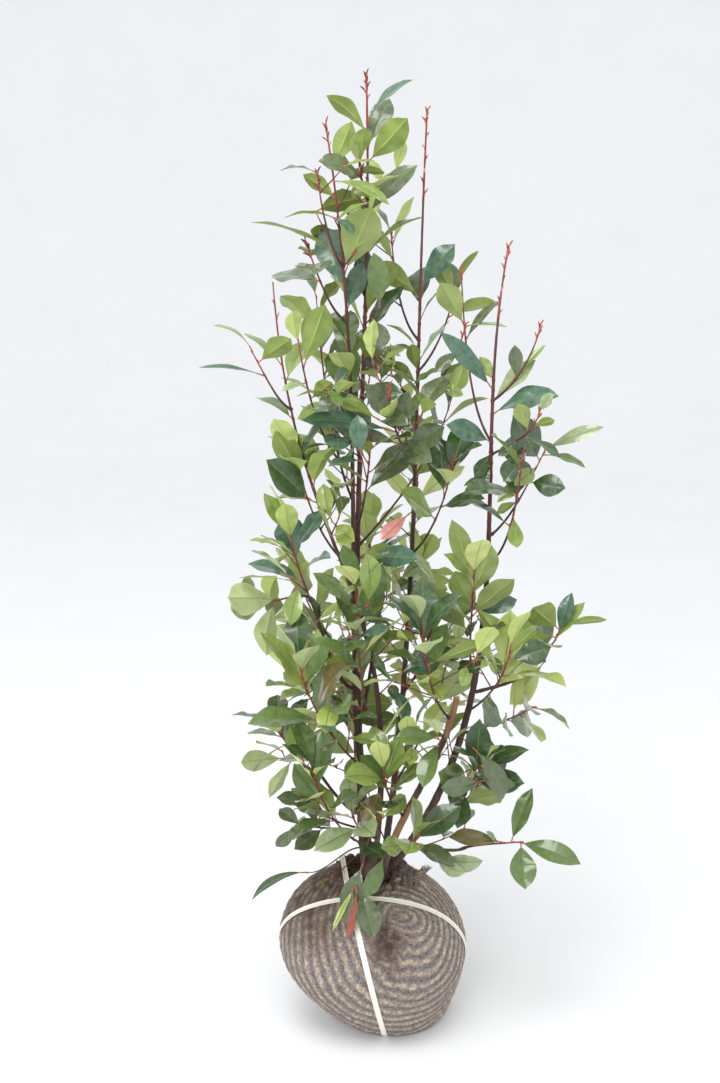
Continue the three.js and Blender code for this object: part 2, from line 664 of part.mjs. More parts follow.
// A twig bends where its leaves stand, so that each leaf is rooted on its axis, and between them where
// they stand far apart.
function twigPlaces(shoot, { limb, start }) {
  const length = limb.curve.getLength();
  const places = [start];
  for (let index = 0; index <= shoot.leaves; index++) {
    const next = index < shoot.leaves ? blend(start, 1, leafPlace(shoot, index).share) : 1;
    const last = places.at(-1);
    const facets = Math.round(((next - last) * length) / TWIG_STEP);
    for (let i = 1; i < facets; i++) {
      places.push(blend(last, next, i / facets));
    }
    if ((next - last) * length > TWIG_FACET) {
      places.push(next);
    }
  }
  places[places.length - 1] = 1;
  return places;
}

function growLeaves(shoot, { limb, start }, seed) {
  const dice = new Dice(seed);
  const reach = limb.curve.getPoint(1).sub(limb.curve.getPoint(0));
  const last = shoot.turn ?? THREE.MathUtils.radToDeg(Math.atan2(reach.y, reach.x));
  const blades = [];
  for (let index = 0; index < shoot.leaves; index++) {
    const rolls = {};
    for (const [name, range] of Object.entries(LEAF_ROLLS)) {
      rolls[name] = dice.roll(...range);
    }
    const { grown, share } = leafPlace(shoot, index);
    const t = blend(start, 1, share);
    const heading = last - (shoot.leaves - 1 - index) * LEAF_SPIRAL + rolls.heading;
    for (const turn of LEAF_TRIES) {
      const leaf = makeLeaf(shoot, limb, t, grown, heading + turn, rolls);
      if (keepsClear(shoot.mass, leafSolid(leaf, LEAF_SPARE))) {
        const blade = leafSolid(leaf);
        occupy(shoot.mass, "blade", blade);
        blades.push(blade);
        break;
      }
    }
  }
  return blades;
}

function buildMasses() {
  const masses = {};
  const grown = [];
  for (const shoot of SHOOTS) {
    const twig = growShoot(shoot);
    const wood = limbSolid(twig.limb, twigPlaces(shoot, twig), TWIG_SIDES);
    if (keepsClear(shoot.mass, wood)) {
      limbs[shoot.mass] ??= twig.limb;
      masses[shoot.mass] = masses[shoot.mass]?.add(wood) ?? wood;
      occupy(shoot.mass, "wood", wood);
      grown.push({ shoot, twig });
    }
  }
  grown.forEach(({ shoot, twig }, order) => {
    for (const blade of growLeaves(shoot, twig, LEAF_SEED * (order + 1))) {
      masses[shoot.mass] = masses[shoot.mass].add(blade);
    }
  });
  for (const [name, shape] of Object.entries(masses)) {
    nodes.push({ name, shape: wholest(shape), colour: "foliage" });
  }
}

// The largest body of a shape; loose scraps are dropped.
function wholest(shape) {
  return shape.decompose().reduce((best, part) => (part.volume() > best.volume() ? part : best));
}

// ---- assembly ----

function meshOf({ name, shape, colour }) {
  const { vertProperties, triVerts } = shape.getMesh();
  const geometry = new THREE.BufferGeometry();
  geometry.setAttribute("position", new THREE.BufferAttribute(vertProperties, 3));
  geometry.setIndex(new THREE.BufferAttribute(triVerts, 1));
  geometry.computeVertexNormals();
  const [color, roughness] = COLOURS[colour];
  const mesh = new THREE.Mesh(geometry, new THREE.MeshStandardMaterial({ color, roughness, metalness: 0 }));
  mesh.name = name;
  return mesh;
}

buildBall();
buildLimbs();
buildMasses();

const plant = new THREE.Group();
for (const node of nodes) {
  plant.add(meshOf(node));
}

export default plant;
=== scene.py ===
# %% [markdown]
# # Photinia "Red Robin" on its root ball
#
# A many-stemmed evergreen shrub stands on a ball of soil that was wrapped in knitted cloth and tied
# with tape. The solids from the workshop are the fixed frame: they say where each stem, shoot and
# leaf is. This lesson dresses them. Every cell makes one thing and prints what it made.

# %% Load the frame
import math

import bpy
import numpy as np
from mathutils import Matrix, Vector, kdtree, noise
from mathutils.bvhtree import BVHTree


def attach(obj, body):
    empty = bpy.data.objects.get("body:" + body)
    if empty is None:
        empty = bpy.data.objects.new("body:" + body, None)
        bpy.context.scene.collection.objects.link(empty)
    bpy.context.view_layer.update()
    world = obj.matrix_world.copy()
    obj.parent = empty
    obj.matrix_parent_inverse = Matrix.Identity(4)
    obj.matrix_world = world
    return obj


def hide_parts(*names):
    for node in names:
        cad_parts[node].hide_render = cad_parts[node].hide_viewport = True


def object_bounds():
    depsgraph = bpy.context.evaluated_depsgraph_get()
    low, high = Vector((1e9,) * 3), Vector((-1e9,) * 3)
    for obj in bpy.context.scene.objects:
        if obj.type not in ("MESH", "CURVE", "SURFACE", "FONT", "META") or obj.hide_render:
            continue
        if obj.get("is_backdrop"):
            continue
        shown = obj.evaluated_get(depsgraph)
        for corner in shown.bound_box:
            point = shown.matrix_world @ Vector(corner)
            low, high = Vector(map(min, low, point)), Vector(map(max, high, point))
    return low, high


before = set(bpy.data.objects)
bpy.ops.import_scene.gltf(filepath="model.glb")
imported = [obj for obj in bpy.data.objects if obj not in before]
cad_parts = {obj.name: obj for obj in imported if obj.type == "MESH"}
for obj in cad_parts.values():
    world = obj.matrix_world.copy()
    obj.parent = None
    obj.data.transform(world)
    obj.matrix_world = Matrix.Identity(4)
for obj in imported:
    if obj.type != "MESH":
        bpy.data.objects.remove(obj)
cad_low, cad_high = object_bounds()
MM = 0.001
print("nodes in the frame:", len(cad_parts))

# %% [markdown]
# ## Camera
#
# A chest-high plant is looked at from a little above, so that the top of the ball shows.
# A camera could be aimed at a target by a constraint. Here its tilt is written as an angle, because a
# fixed tilt keeps the upright stems' perspective easy to reason about.

# %% Camera
CAMERA_PLACE = (-0.056, -2.28, 1.405)
CAMERA_TILT = math.radians(14.4)
CAMERA_LENS = 50

camera = bpy.data.objects.new("camera", bpy.data.cameras.new("camera"))
camera.data.lens = CAMERA_LENS
camera.location = CAMERA_PLACE
camera.rotation_euler = (math.pi / 2 - CAMERA_TILT, 0, 0)
bpy.context.scene.collection.objects.link(camera)
bpy.context.scene.camera = camera
print("camera stands", round(-CAMERA_PLACE[1], 2), "m in front of the ball")

# %% [markdown]
# ## Studio
#
# Glossy leaves only look glossy if they have something large and bright to reflect. So the light is a
# white surround with one broad soft panel overhead and one in front, rather than small lamps, which
# would give each leaf a hard spot. The floor sweeps up behind, so that no line crosses the stems.

# %% Light and surround
PANELS = {"overhead": ((-0.5, -0.9, 2.9), 1.25, 34), "front": ((-0.9, -3.1, 1.9), 1.1, 30)}
AIM = Vector((0, 0, 0.8))

world = bpy.data.worlds.new("studio")
bpy.context.scene.world = world
world.use_nodes = True
world.node_tree.nodes["Background"].inputs["Color"].default_value = (0.975, 0.985, 1.0, 1)
world.node_tree.nodes["Background"].inputs["Strength"].default_value = 1.0
bpy.context.scene.view_settings.view_transform = "Standard"

for name, (place, size, power) in PANELS.items():
    panel = bpy.data.objects.new(name, bpy.data.lights.new(name, "AREA"))
    panel.data.size = size
    panel.data.energy = power
    panel.location = place
    panel.rotation_euler = (AIM - panel.location).to_track_quat("-Z", "Y").to_euler()
    bpy.context.scene.collection.objects.link(panel)
print("soft panels:", ", ".join(PANELS))

# %% Floor that sweeps up behind
FLOOR_HALF = 14
SWEEP_START = 4.2
SWEEP_RADIUS = 3.5

sweep = [(-FLOOR_HALF, 0), (SWEEP_START, 0)]
for step in range(1, 25):
    turn = math.radians(90 * step / 24)
    sweep.append((SWEEP_START + SWEEP_RADIUS * math.sin(turn), SWEEP_RADIUS * (1 - math.cos(turn))))
floor_mesh = bpy.data.meshes.new("floor")
floor_mesh.from_pydata(
    [(side * FLOOR_HALF, y, z) for y, z in sweep for side in (-1, 1)],
    [],
    [(2 * k, 2 * k + 1, 2 * k + 3, 2 * k + 2) for k in range(len(sweep) - 1)],
)
floor_mesh.shade_smooth()
floor = bpy.data.objects.new("floor", floor_mesh)
bpy.context.scene.collection.objects.link(floor)
floor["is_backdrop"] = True
print("floor is", 2 * FLOOR_HALF, "m wide")

# %% [markdown]
# ## Finishes
#
# A finish is one Principled shader with plain numbers set on its sockets, and a little variation fed
# into colour and bump. Most things on a plant vary in the same two ways: in soft blotches, and in
# streaks along the grain. Both are made once as node groups and then used with different values.

# %% Shared node groups: blotches and streaks
def new_group(name, inputs, outputs):
    """A node group with float or colour sockets, given as (name, kind, value)."""
    group = bpy.data.node_groups.new(name, "ShaderNodeTree")
    for label, kind, value in inputs:
        socket = group.interface.new_socket(label, in_out="INPUT", socket_type=kind)
        socket.default_value = value
    for label, kind in outputs:
        group.interface.new_socket(label, in_out="OUTPUT", socket_type=kind)
    return group, group.nodes.new("NodeGroupInput"), group.nodes.new("NodeGroupOutput")


def noise_group(name, squash):
    """Noise in the frame's own metres that blends two colours; squash stretches it upwards."""
    group, given, result = new_group(
        name,
        [
            ("Color", "NodeSocketColor", (0.5, 0.5, 0.5, 1)),
            ("Second", "NodeSocketColor", (0.3, 0.3, 0.3, 1)),
            ("Scale", "NodeSocketFloat", 60),
            ("Contrast", "NodeSocketFloat", 0.2),
        ],
        [("Color", "NodeSocketColor"), ("Height", "NodeSocketFloat")],
    )
    nodes, links = group.nodes, group.links
    place = nodes.new("ShaderNodeTexCoord")
    stretch = nodes.new("ShaderNodeVectorMath")
    stretch.operation = "MULTIPLY"
    stretch.inputs[1].default_value = (1, 1, squash)
    cloud = nodes.new("ShaderNodeTexNoise")
    cloud.inputs["Detail"].default_value = 4
    spread = nodes.new("ShaderNodeMapRange")
    low = nodes.new("ShaderNodeMath")
    low.operation = "SUBTRACT"
    low.inputs[0].default_value = 0.5
    high = nodes.new("ShaderNodeMath")
    high.operation = "ADD"
    high.inputs[0].default_value = 0.5
    mix = nodes.new("ShaderNodeMix")
    mix.data_type = "RGBA"
    links.new(place.outputs["Object"], stretch.inputs[0])
    links.new(stretch.outputs[0], cloud.inputs["Vector"])
    links.new(given.outputs["Scale"], cloud.inputs["Scale"])
    links.new(given.outputs["Contrast"], low.inputs[1])
    links.new(given.outputs["Contrast"], high.inputs[1])
    links.new(cloud.outputs[0], spread.inputs["Value"])
    links.new(low.outputs[0], spread.inputs["From Min"])
    links.new(high.outputs[0], spread.inputs["From Max"])
    links.new(spread.outputs[0], mix.inputs["Factor"])
    links.new(given.outputs["Color"], mix.inputs["A"])
    links.new(given.outputs["Second"], mix.inputs["B"])
    links.new(mix.outputs["Result"], result.inputs["Color"])
    links.new(cloud.outputs[0], result.inputs["Height"])
    return group


BLOTCHES = noise_group("blotches", 1.0)
STREAKS = noise_group("streaks", 0.12)
print("groups:", BLOTCHES.name, STREAKS.name)

# %% A finish from two close colours
def srgb(red, green, blue):
    """A colour named by its screen values, as the linear one that the shader wants."""
    channels = [value / 255 for value in (red, green, blue)]
    return (*[c / 12.92 if c <= 0.04045 else ((c + 0.055) / 1.055) ** 2.4 for c in channels], 1)


def finish(
    name, color, second, roughness, scale, group=BLOTCHES, contrast=0.2, bump=0.2, depth=0.4, **more
):
    """A material whose colour wanders between two, with bump of the given depth in millimetres."""
    made = bpy.data.materials.new(name)
    made.use_nodes = True
    nodes, links = made.node_tree.nodes, made.node_tree.links
    shader = nodes["Principled BSDF"]
    shader.inputs["Roughness"].default_value = roughness
    for socket, value in more.items():
        shader.inputs[socket.replace("_", " ")].default_value = value
    pattern = nodes.new("ShaderNodeGroup")
    pattern.name = "pattern"
    pattern.node_tree = group
    pattern.inputs["Color"].default_value = srgb(*color)
    pattern.inputs["Second"].default_value = srgb(*second)
    pattern.inputs["Scale"].default_value = scale
    pattern.inputs["Contrast"].default_value = contrast
    relief = nodes.new("ShaderNodeBump")
    relief.inputs["Strength"].default_value = bump
    relief.inputs["Distance"].default_value = depth * MM
    links.new(pattern.outputs["Color"], shader.inputs["Base Color"])
    links.new(pattern.outputs["Height"], relief.inputs["Height"])
    links.new(relief.outputs["Normal"], shader.inputs["Normal"])
    return made


floor.data.materials.append(finish("pale_floor", (240, 241, 242), (237, 238, 240), 0.85, 3, bump=0))
print("first finish:", floor.data.materials[0].name)

# %% [markdown]
# ## Limbs
#
# Every stem, bough and shoot is a cubic Bezier curve with a taper. They could be drawn as Blender
# curve objects with a bevel. Plain arithmetic is used instead, because the leaves must stand on the
# very same curves as the solids of the frame do, and a formula can be asked for any point and direction.

# %% Vectors and the limb
UP = np.array([0.0, 0.0, 1.0])
GAP = 0.3  # what stays open between a limb and the one that it grows from


def unit(vector):
    return vector / np.linalg.norm(vector)


def across_to(vector, axis):
    """The part of a vector that lies across an axis, as a unit vector."""
    return unit(vector - axis * np.dot(vector, axis))


def mixed(low, high, share):
    return low + (high - low) * share


def spoke_at(heading, axis, rise=0.01):
    """The direction across an axis that looks to a heading in degrees; a little rise suits any axis."""
    turn = math.radians(heading)
    return across_to(np.array([math.cos(turn), math.sin(turn), rise]), axis)


def leaning(along, out, lean):
    """A direction that leans out from an axis by an angle, and where the upper side of a leaf on it looks."""
    return along * math.cos(lean) + out * math.sin(lean), along * math.sin(lean) - out * math.cos(lean)


def twisted(face, along, degrees):
    """A direction turned round an axis that it stands across."""
    twist = math.radians(degrees)
    return face * math.cos(twist) + np.cross(along, face) * math.sin(twist)


class Limb:
    """A tapering cubic curve, in millimetres."""

    def __init__(self, places, thick):
        self.places = np.array(places, float)
        self.thick = thick

    def point(self, t):
        a, b, c, d = self.places
        u = 1 - t
        return u**3 * a + 3 * u * u * t * b + 3 * u * t * t * c + t**3 * d

    def tangent(self, t):
        a, b, c, d = self.places
        u = 1 - t
        return unit(u * u * (b - a) + 2 * u * t * (c - b) + t * t * (d - c))

    def radius(self, t):
        return mixed(*self.thick, t)

    def length(self, steps=200):
        points = np.array([self.point(k / steps) for k in range(steps + 1)])
        return np.linalg.norm(np.diff(points, axis=0), axis=1).sum()


straight = Limb([[0, 0, k] for k in (0, 33, 67, 100)], (1, 1))
print("a straight limb of 100 mm measures", round(straight.length()))

# %% [markdown]
# ## Stems and boughs
#
# Six stems fork from one flared foot. Five carry crowns; the sixth was cut off in an earlier year and
# is thicker and browner. The sizes are those of the frame's solids.

# %% Stems and boughs by name
SOIL_TOP = 252.3
STEMS = {
    "leader": Limb([[-36, 2, SOIL_TOP], [-94, 5, 683], [-33, 1, 1100], [-47, 0, 1518]], (6.5, 1.3)),
    "left": Limb([[-48, -8, SOIL_TOP], [-85, 1, 662], [-41, -29, 1057], [-105, -50, 1446]], (5.5, 1.2)),
    "right": Limb([[-19, 13, SOIL_TOP], [42, 44, 673], [28, 70, 1056], [44, 50, 1468]], (5.5, 1.2)),
    "far_right": Limb([[-11, -1, SOIL_TOP], [226, 42, 543], [106, -25, 938], [163, -20, 1272]], (7, 1.2)),
    "far_left": Limb([[-35, -19, SOIL_TOP], [27, -118, 826], [-154, -18, 751], [-187, 10, 1217]], (5, 1.1)),
    "pruned": Limb([[-20, -17, SOIL_TOP], [2, -44, 384], [76, -79, 475], [94, -80, 591]], (6, 4.6)),
}
BOUGHS = {
    "bough_right": ("far_right", 0.33, [206, -14, 606], (3.2, 2.2)),
    "bough_low_right": ("far_right", 0.06, [112, -52, 322], (3.4, 2.4)),
    "bough_left": ("left", 0.27, [-122, -30, 700], (3, 2.2)),
    "bough_low_left": ("left", 0.09, [-124, 6, 432], (3, 2.2)),
    "bough_back": ("leader", 0.2, [-30, 110, 640], (3.4, 2.2)),
}
BOUGH_RISE = 0.3
SLANT = math.radians(33)


def side_limb(parent, at, tip, rise, thick, fused=False):
    """A limb that leaves its parent slantwise, or goes on from its tip, and rises towards its own."""
    foot, along = parent.point(at), parent.tangent(at)
    goal = np.array(tip, float)
    out = across_to(goal - foot, along)
    slant = math.pi / 2 if at == 1 else SLANT
    leave = out * math.cos(slant) + along * math.sin(slant)
    if at == 1:
        foot = foot + along * GAP
    elif not fused:
        foot = foot + out * (parent.radius(at) + GAP + thick[0] * math.sin(slant))
    reach = goal - foot
    span = np.linalg.norm(reach)
    ending = unit(mixed(unit(reach), UP, rise))
    return Limb([foot, foot + leave * span / 4, goal - ending * span / 3, goal], thick)


limbs = dict(STEMS)
for name, (parent, at, tip, thick) in BOUGHS.items():
    limbs[name] = side_limb(limbs[parent], at, tip, BOUGH_RISE, thick)
print("limbs:", ", ".join(limbs))

# %% [markdown]
# ## Shoots
#
# A shoot is a leafy twig. Its row says what it grows from and where, its tip, and how its leaves
# stand. The leaves follow each other by the golden angle and crowd towards the end of each flush,
# which is how this shrub grows: a burst of leaves, a bare stretch, and the next burst.

# %% Shoots, from the crowns down to the ball and round the back
SHOOTS = [
    dict(
        mass="leader_crown", grows_from="leader", at=0.62, leaves=15, leaf=100, turn=20, bare=0.02,
        top=0.86, flushes=3,
    ),
    dict(
        mass="left_crown", grows_from="left", at=0.6, leaves=12, leaf=98, turn=195, bare=0.02,
        top=0.88, flushes=3,
    ),
    dict(
        mass="right_crown", grows_from="right", at=0.6, leaves=9, leaf=92, turn=10, bare=0.02, top=0.5,
        flushes=2,
    ),
    dict(
        mass="far_right_crown", grows_from="far_right", at=0.62, leaves=8, leaf=88, turn=0, bare=0.02,
        top=0.5, flushes=2,
    ),
    dict(
        mass="far_left_crown", grows_from="far_left", at=0.6, leaves=9, leaf=92, turn=180, bare=0.02,
        top=0.8, flushes=2,
    ),
    dict(
        mass="leader_crown", grows_from="leader_crown", at=0.86, tip=[-57, -40, 1398], leaves=4,
        leaf=84, turn=290,
    ),
    dict(mass="left_crown", grows_from="left_crown", at=0.83, tip=[-116, -90, 1380], leaves=4, leaf=84),
    dict(
        mass="left_crown", grows_from="left_crown", at=0.76, tip=[-136, -40, 1282], leaves=4, leaf=104,
        pitch=[72, 66], rise=0.2,
    ),
    dict(mass="right_crown", grows_from="right_crown", at=0.72, tip=[-8, 90, 1290], leaves=4, leaf=88),
    dict(mass="right_crown", grows_from="right_crown", at=0.68, tip=[92, 96, 1205], leaves=5, leaf=92),
    dict(
        mass="right_crown", grows_from="right_crown", at=0.64, tip=[104, 22, 1153], leaves=4, leaf=80,
        turn=330,
    ),
    dict(
        mass="far_right_crown", grows_from="far_right_crown", at=0.72, tip=[98, 40, 1239], leaves=4,
        leaf=74, top=0.7,
    ),
    dict(
        mass="far_right_crown", grows_from="far_right_crown", at=0.78, tip=[210, -50, 1161], leaves=4,
        leaf=74, top=0.6,
    ),
    dict(
        mass="far_right_crown", grows_from="far_right_crown", at=0.7, tip=[208, -90, 1040], leaves=7,
        leaf=88,
    ),
    dict(
        mass="far_left_crown", grows_from="far_left_crown", at=0.84, tip=[-218, -20, 1118], leaves=3,
        leaf=104, pitch=[74, 66], rise=0.1,
    ),
    dict(
        mass="left_inner", grows_from="left", at=0.57, tip=[-150, -80, 1177], leaves=6, leaf=88,
        turn=250, top=0.85,
    ),
    dict(mass="left_back", grows_from="left", at=0.53, tip=[-124, 90, 1190], leaves=6, leaf=94),
    dict(mass="front_red", grows_from="right", at=0.55, tip=[-14, -120, 1079], leaves=8, leaf=86, top=0.75),
    dict(mass="back_centre", grows_from="leader", at=0.44, tip=[97, 140, 1047], leaves=7, leaf=88),
    dict(
        mass="right_upper", grows_from="far_right", at=0.54, tip=[189, -60, 974], leaves=10, leaf=96,
        pitch=[62, 40],
    ),
    dict(
        mass="right_outer", grows_from="far_right", at=0.58, tip=[232, 20, 962], leaves=8, leaf=98,
        pitch=[66, 56], rise=0.2,
    ),
    dict(
        mass="right_middle", grows_from="bough_right", at=1, tip=[258, -30, 690], leaves=8, leaf=88,
        pitch=[62, 50],
    ),
    dict(
        mass="right_middle", grows_from="right_middle", at=0.4, tip=[246, 60, 612], leaves=5, leaf=88,
        pitch=[70, 55],
    ),
    dict(
        mass="right_front", grows_from="far_right", at=0.3, tip=[172, -110, 680], leaves=9, leaf=102,
        pitch=[40, 18],
    ),
    dict(
        mass="right_low", grows_from="far_right", at=0.26, tip=[224, 10, 540], leaves=7, leaf=98,
        pitch=[66, 60], rise=0.2,
    ),
    dict(
        mass="right_under", grows_from="far_right", at=0.16, tip=[132, -90, 480], leaves=9, leaf=90,
        pitch=[44, 20],
    ),
    dict(
        mass="low_right_end", grows_from="bough_low_right", at=1, tip=[202, -66, 340], leaves=6,
        leaf=104, facing=[0, -1, 0.5], pitch=[80, 62], rise=0,
    ),
    dict(mass="low_right_back", grows_from="far_right", at=0.08, tip=[150, 70, 400], leaves=8, leaf=86),
    dict(
        mass="pruned_shoot", grows_from="pruned", at=0.9, tip=[35, -140, 730], leaves=9, leaf=98,
        turn=260, pitch=[40, 18],
    ),
    dict(
        mass="twin_shoot", grows_from="far_right", at=0.36, tip=[118, -70, 806], leaves=11, leaf=100,
        top=0.9, pitch=[40, 20],
    ),
    dict(
        mass="left_middle", grows_from="bough_left", at=1, tip=[-163, -40, 848], leaves=9, leaf=90,
        turn=190,
    ),
    dict(
        mass="left_middle", grows_from="left_middle", at=0.3, tip=[-213, 0, 720], leaves=7, leaf=98,
        pitch=[70, 62], rise=0.1,
    ),
    dict(mass="left_middle_back", grows_from="left", at=0.3, tip=[-150, 90, 723], leaves=9, leaf=94),
    dict(
        mass="left_front", grows_from="far_left", at=0.13, tip=[-149, -110, 660], leaves=11, leaf=102,
        pitch=[40, 18],
    ),
    dict(
        mass="low_left_end", grows_from="bough_low_left", at=1, tip=[-190, 0, 510], leaves=8, leaf=84,
        pitch=[66, 56],
    ),
    dict(
        mass="low_left_end", grows_from="low_left_end", at=0.3, tip=[-185, 64, 440], leaves=5, leaf=84,
        pitch=[70, 60],
    ),
    dict(
        mass="low_left_front", grows_from="left", at=0.05, tip=[-130, -110, 490], leaves=9, leaf=92,
        pitch=[40, 18],
    ),
    dict(mass="low_left_inner", grows_from="left", at=0.07, tip=[-122, -54, 400], leaves=8, leaf=84),
    dict(
        mass="foot_left", grows_from="left", at=0.06, tip=[-158, -10, 342], leaves=7, leaf=60,
        facing=[0, -1, 1], pitch=[70, 50], rise=0,
    ),
    dict(
        mass="foot_front", grows_from="far_left", at=0.07, tip=[-60, -84, 272], leaves=4, leaf=84,
        facing=[0, -1, 0.5], bare=0.5, pitch=[34, 12], rise=-0.5,
    ),
    dict(
        mass="low_centre", grows_from="far_left", at=0.05, tip=[-70, -96, 410], leaves=8, leaf=84,
        turn=270, pitch=[40, 20],
    ),
    dict(
        mass="front_centre", grows_from="pruned", at=0.35, tip=[-19, -110, 480], leaves=9, leaf=88,
        pitch=[40, 20],
    ),
    dict(mass="low_front", grows_from="pruned", at=0.2, tip=[34, -110, 372], leaves=7, leaf=88),
    dict(
        mass="middle_front", grows_from="far_left", at=0.2, tip=[-62, -120, 778], leaves=10, leaf=96,
        pitch=[40, 18],
    ),
    dict(mass="middle_right", grows_from="right", at=0.25, tip=[66, -40, 760], leaves=9, leaf=94),
    dict(mass="upper_front", grows_from="leader", at=0.47, tip=[-40, -80, 1000], leaves=8, leaf=92),
    dict(mass="upper_right", grows_from="right", at=0.44, tip=[84, -30, 950], leaves=7, leaf=90),
    dict(mass="upper_left", grows_from="left", at=0.44, tip=[-150, -40, 960], leaves=8, leaf=92),
    dict(mass="back_low", grows_from="bough_back", at=1, tip=[-40, 180, 800], leaves=9, leaf=94),
    dict(mass="back_low", grows_from="back_low", at=0.3, tip=[40, 200, 720], leaves=8, leaf=94),
    dict(mass="back_foot", grows_from="leader", at=0.1, tip=[-60, 160, 470], leaves=9, leaf=92),
    dict(mass="back_right", grows_from="right", at=0.12, tip=[90, 160, 560], leaves=10, leaf=94),
    dict(mass="back_left", grows_from="left", at=0.2, tip=[-150, 140, 600], leaves=9, leaf=94),
    dict(mass="back_upper", grows_from="right", at=0.42, tip=[40, 160, 920], leaves=9, leaf=94),
    dict(mass="back_top", grows_from="leader", at=0.55, tip=[-80, 120, 1080], leaves=6, leaf=92),
]
SHOOT_RISE = 0.7
SHOOT_THICK = (2.1, 0.9)
limbs_by_shoot = []
for shoot in SHOOTS:
    parent = limbs[shoot["grows_from"]]
    if "tip" in shoot:
        fused = shoot["grows_from"] == shoot["mass"]
        rise = shoot.get("rise", SHOOT_RISE)
        limb, start = side_limb(parent, shoot["at"], shoot["tip"], rise, SHOOT_THICK, fused), 0
    else:
        limb, start = parent, shoot["at"] + GAP / parent.length()
    limbs.setdefault(shoot["mass"], limb)
    limbs_by_shoot.append((shoot, limb, start))
MASSES = sorted({shoot["mass"] for shoot in SHOOTS})
print(len(SHOOTS), "shoots in", len(MASSES), "masses")

# %% [markdown]
# ## Where each leaf stands
#
# A rule places the leaves: a seeded die rolls each one's heading, pitch, size, twist, arch and fold, in
# the same order as for the solids. A solid leaf that would have touched a neighbour was turned
# a little or left out. So each roll is tried with the same turns, and kept where the frame has a leaf
# tip at that very place. A search tree over the node's corners makes that test quick.

# %% Rules of growth
LEAF_BARE, LEAF_CROWD, LEAF_SPIRAL = 0.25, 0.6, 137.5
LEAF_PITCH = (46, 22)
LEAF_WIDTH = 0.44
LEAF_SUNK = 0.8
LEAF_TRIES = (0, 24, -24, 48, -48, 72, -72)
LEAF_SEED = 1009
LEAF_GROWTH = {"least": 0.72, "more": 0.34, "first": 0.25, "span": 0.62}
LEAF_ROLLS = {
    "heading": (-14, 14), "pitch": (-14, 14), "size": (0.84, 1.12),
    "twist": (-38, 38), "arch": (2, 28), "fold": (0.1, 0.28),
}
SAME_PLACE = 0.4


class Dice:
    """The same rolls in the same order every time."""

    def __init__(self, seed):
        self.state = seed

    def roll(self, low, high):
        self.state = (self.state * 1664525 + 1013904223) % 2**32
        return low + (high - low) * self.state / 2**32

    def pick(self, choices):
        return choices[int(self.roll(0, len(choices)))]


class Leaf:
    """A leaf's frame: where it is rooted, where it points, and which way its upper side looks."""

    def __init__(self, root, along, face, length, width, arch, fold):
        self.root, self.along, self.face = root, along, face
        self.length, self.width, self.arch, self.fold = length, width, arch, fold
        self.greens = None  # a pair of colours, where a row gives them

    def spine(self, share):
        """The middle line and the upper side's direction at shares of the length."""
        bend = self.arch * np.reshape(share, (-1, 1))
        curl = self.length / self.arch
        place = self.root + self.along * curl * np.sin(bend) + self.face * curl * (np.cos(bend) - 1)
        return place, self.face * np.cos(bend) + self.along * np.sin(bend)


def make_leaf(shoot, limb, t, grown, heading, rolls):
    """A leaf by the rule, from its place on the limb, how far its flush has grown, and its rolls."""
    tangent = limb.tangent(t)
    pitch = math.radians(mixed(*shoot.get("pitch", LEAF_PITCH), grown) + rolls["pitch"])
    along, face = leaning(tangent, spoke_at(heading, tangent, 0), pitch)
    if "facing" in shoot:
        face = across_to(np.array(shoot["facing"], float), along)
    face = twisted(face, along, rolls["twist"])
    swell = math.sin(math.pi * (LEAF_GROWTH["first"] + LEAF_GROWTH["span"] * grown))
    length = shoot["leaf"] * rolls["size"] * (LEAF_GROWTH["least"] + LEAF_GROWTH["more"] * swell)
    root = limb.point(t) - along * LEAF_SUNK
    return Leaf(root, along, face, length, length * LEAF_WIDTH, math.radians(rolls["arch"]), rolls["fold"])

# %% Find the leaves that stand
def corners_of(node):
    """A search tree over a node's corners, in millimetres."""
    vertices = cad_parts[node].data.vertices
    tree = kdtree.KDTree(len(vertices))
    for vertex in vertices:
        tree.insert(vertex.co / MM, vertex.index)
    tree.balance()
    return tree


def grow(shoot, limb, start, seed, corners):
    """The leaves of a shoot, each with its place t on the limb."""
    dice = Dice(seed)
    reach = limb.point(1) - limb.point(0)
    last = shoot.get("turn", math.degrees(math.atan2(reach[1], reach[0])))
    each = math.ceil(shoot["leaves"] / shoot.get("flushes", 1))
    found = []
    for index in range(shoot["leaves"]):
        rolls = {name: dice.roll(*ends) for name, ends in LEAF_ROLLS.items()}
        grown = (index % each + 1) / each
        share = (index // each + grown**LEAF_CROWD) / shoot.get("flushes", 1)
        share = mixed(shoot.get("bare", LEAF_BARE), shoot.get("top", 1), share)
        t = mixed(start, 1, share)
        heading = last - (shoot["leaves"] - 1 - index) * LEAF_SPIRAL + rolls["heading"]
        for turn in LEAF_TRIES:
            leaf = make_leaf(shoot, limb, t, grown, heading + turn, rolls)
            if corners.find(leaf.spine(1)[0][0])[2] < SAME_PLACE:
                found.append((leaf, t))
                break
    return found


corners = {mass: corners_of(mass) for mass in MASSES}
shoots = []
for order, (shoot, limb, start) in enumerate(limbs_by_shoot):
    leaves = grow(shoot, limb, start, LEAF_SEED * (order + 1), corners[shoot["mass"]])
    shoots.append({"row": shoot, "limb": limb, "start": start, "leaves": leaves, "order": order})
standing_leaves = sum(len(shoot["leaves"]) for shoot in shoots)
print(standing_leaves, "leaves stand of", sum(row["leaves"] for row in SHOOTS))

# %% [markdown]
# ## Piles
#
# A crown has thousands of small things. Thousands of objects would make Blender slow, and instances
# would be lost on the way to other programs. So the small things of one kind are piled up as lists of
# corners and faces, and each pile becomes one mesh.

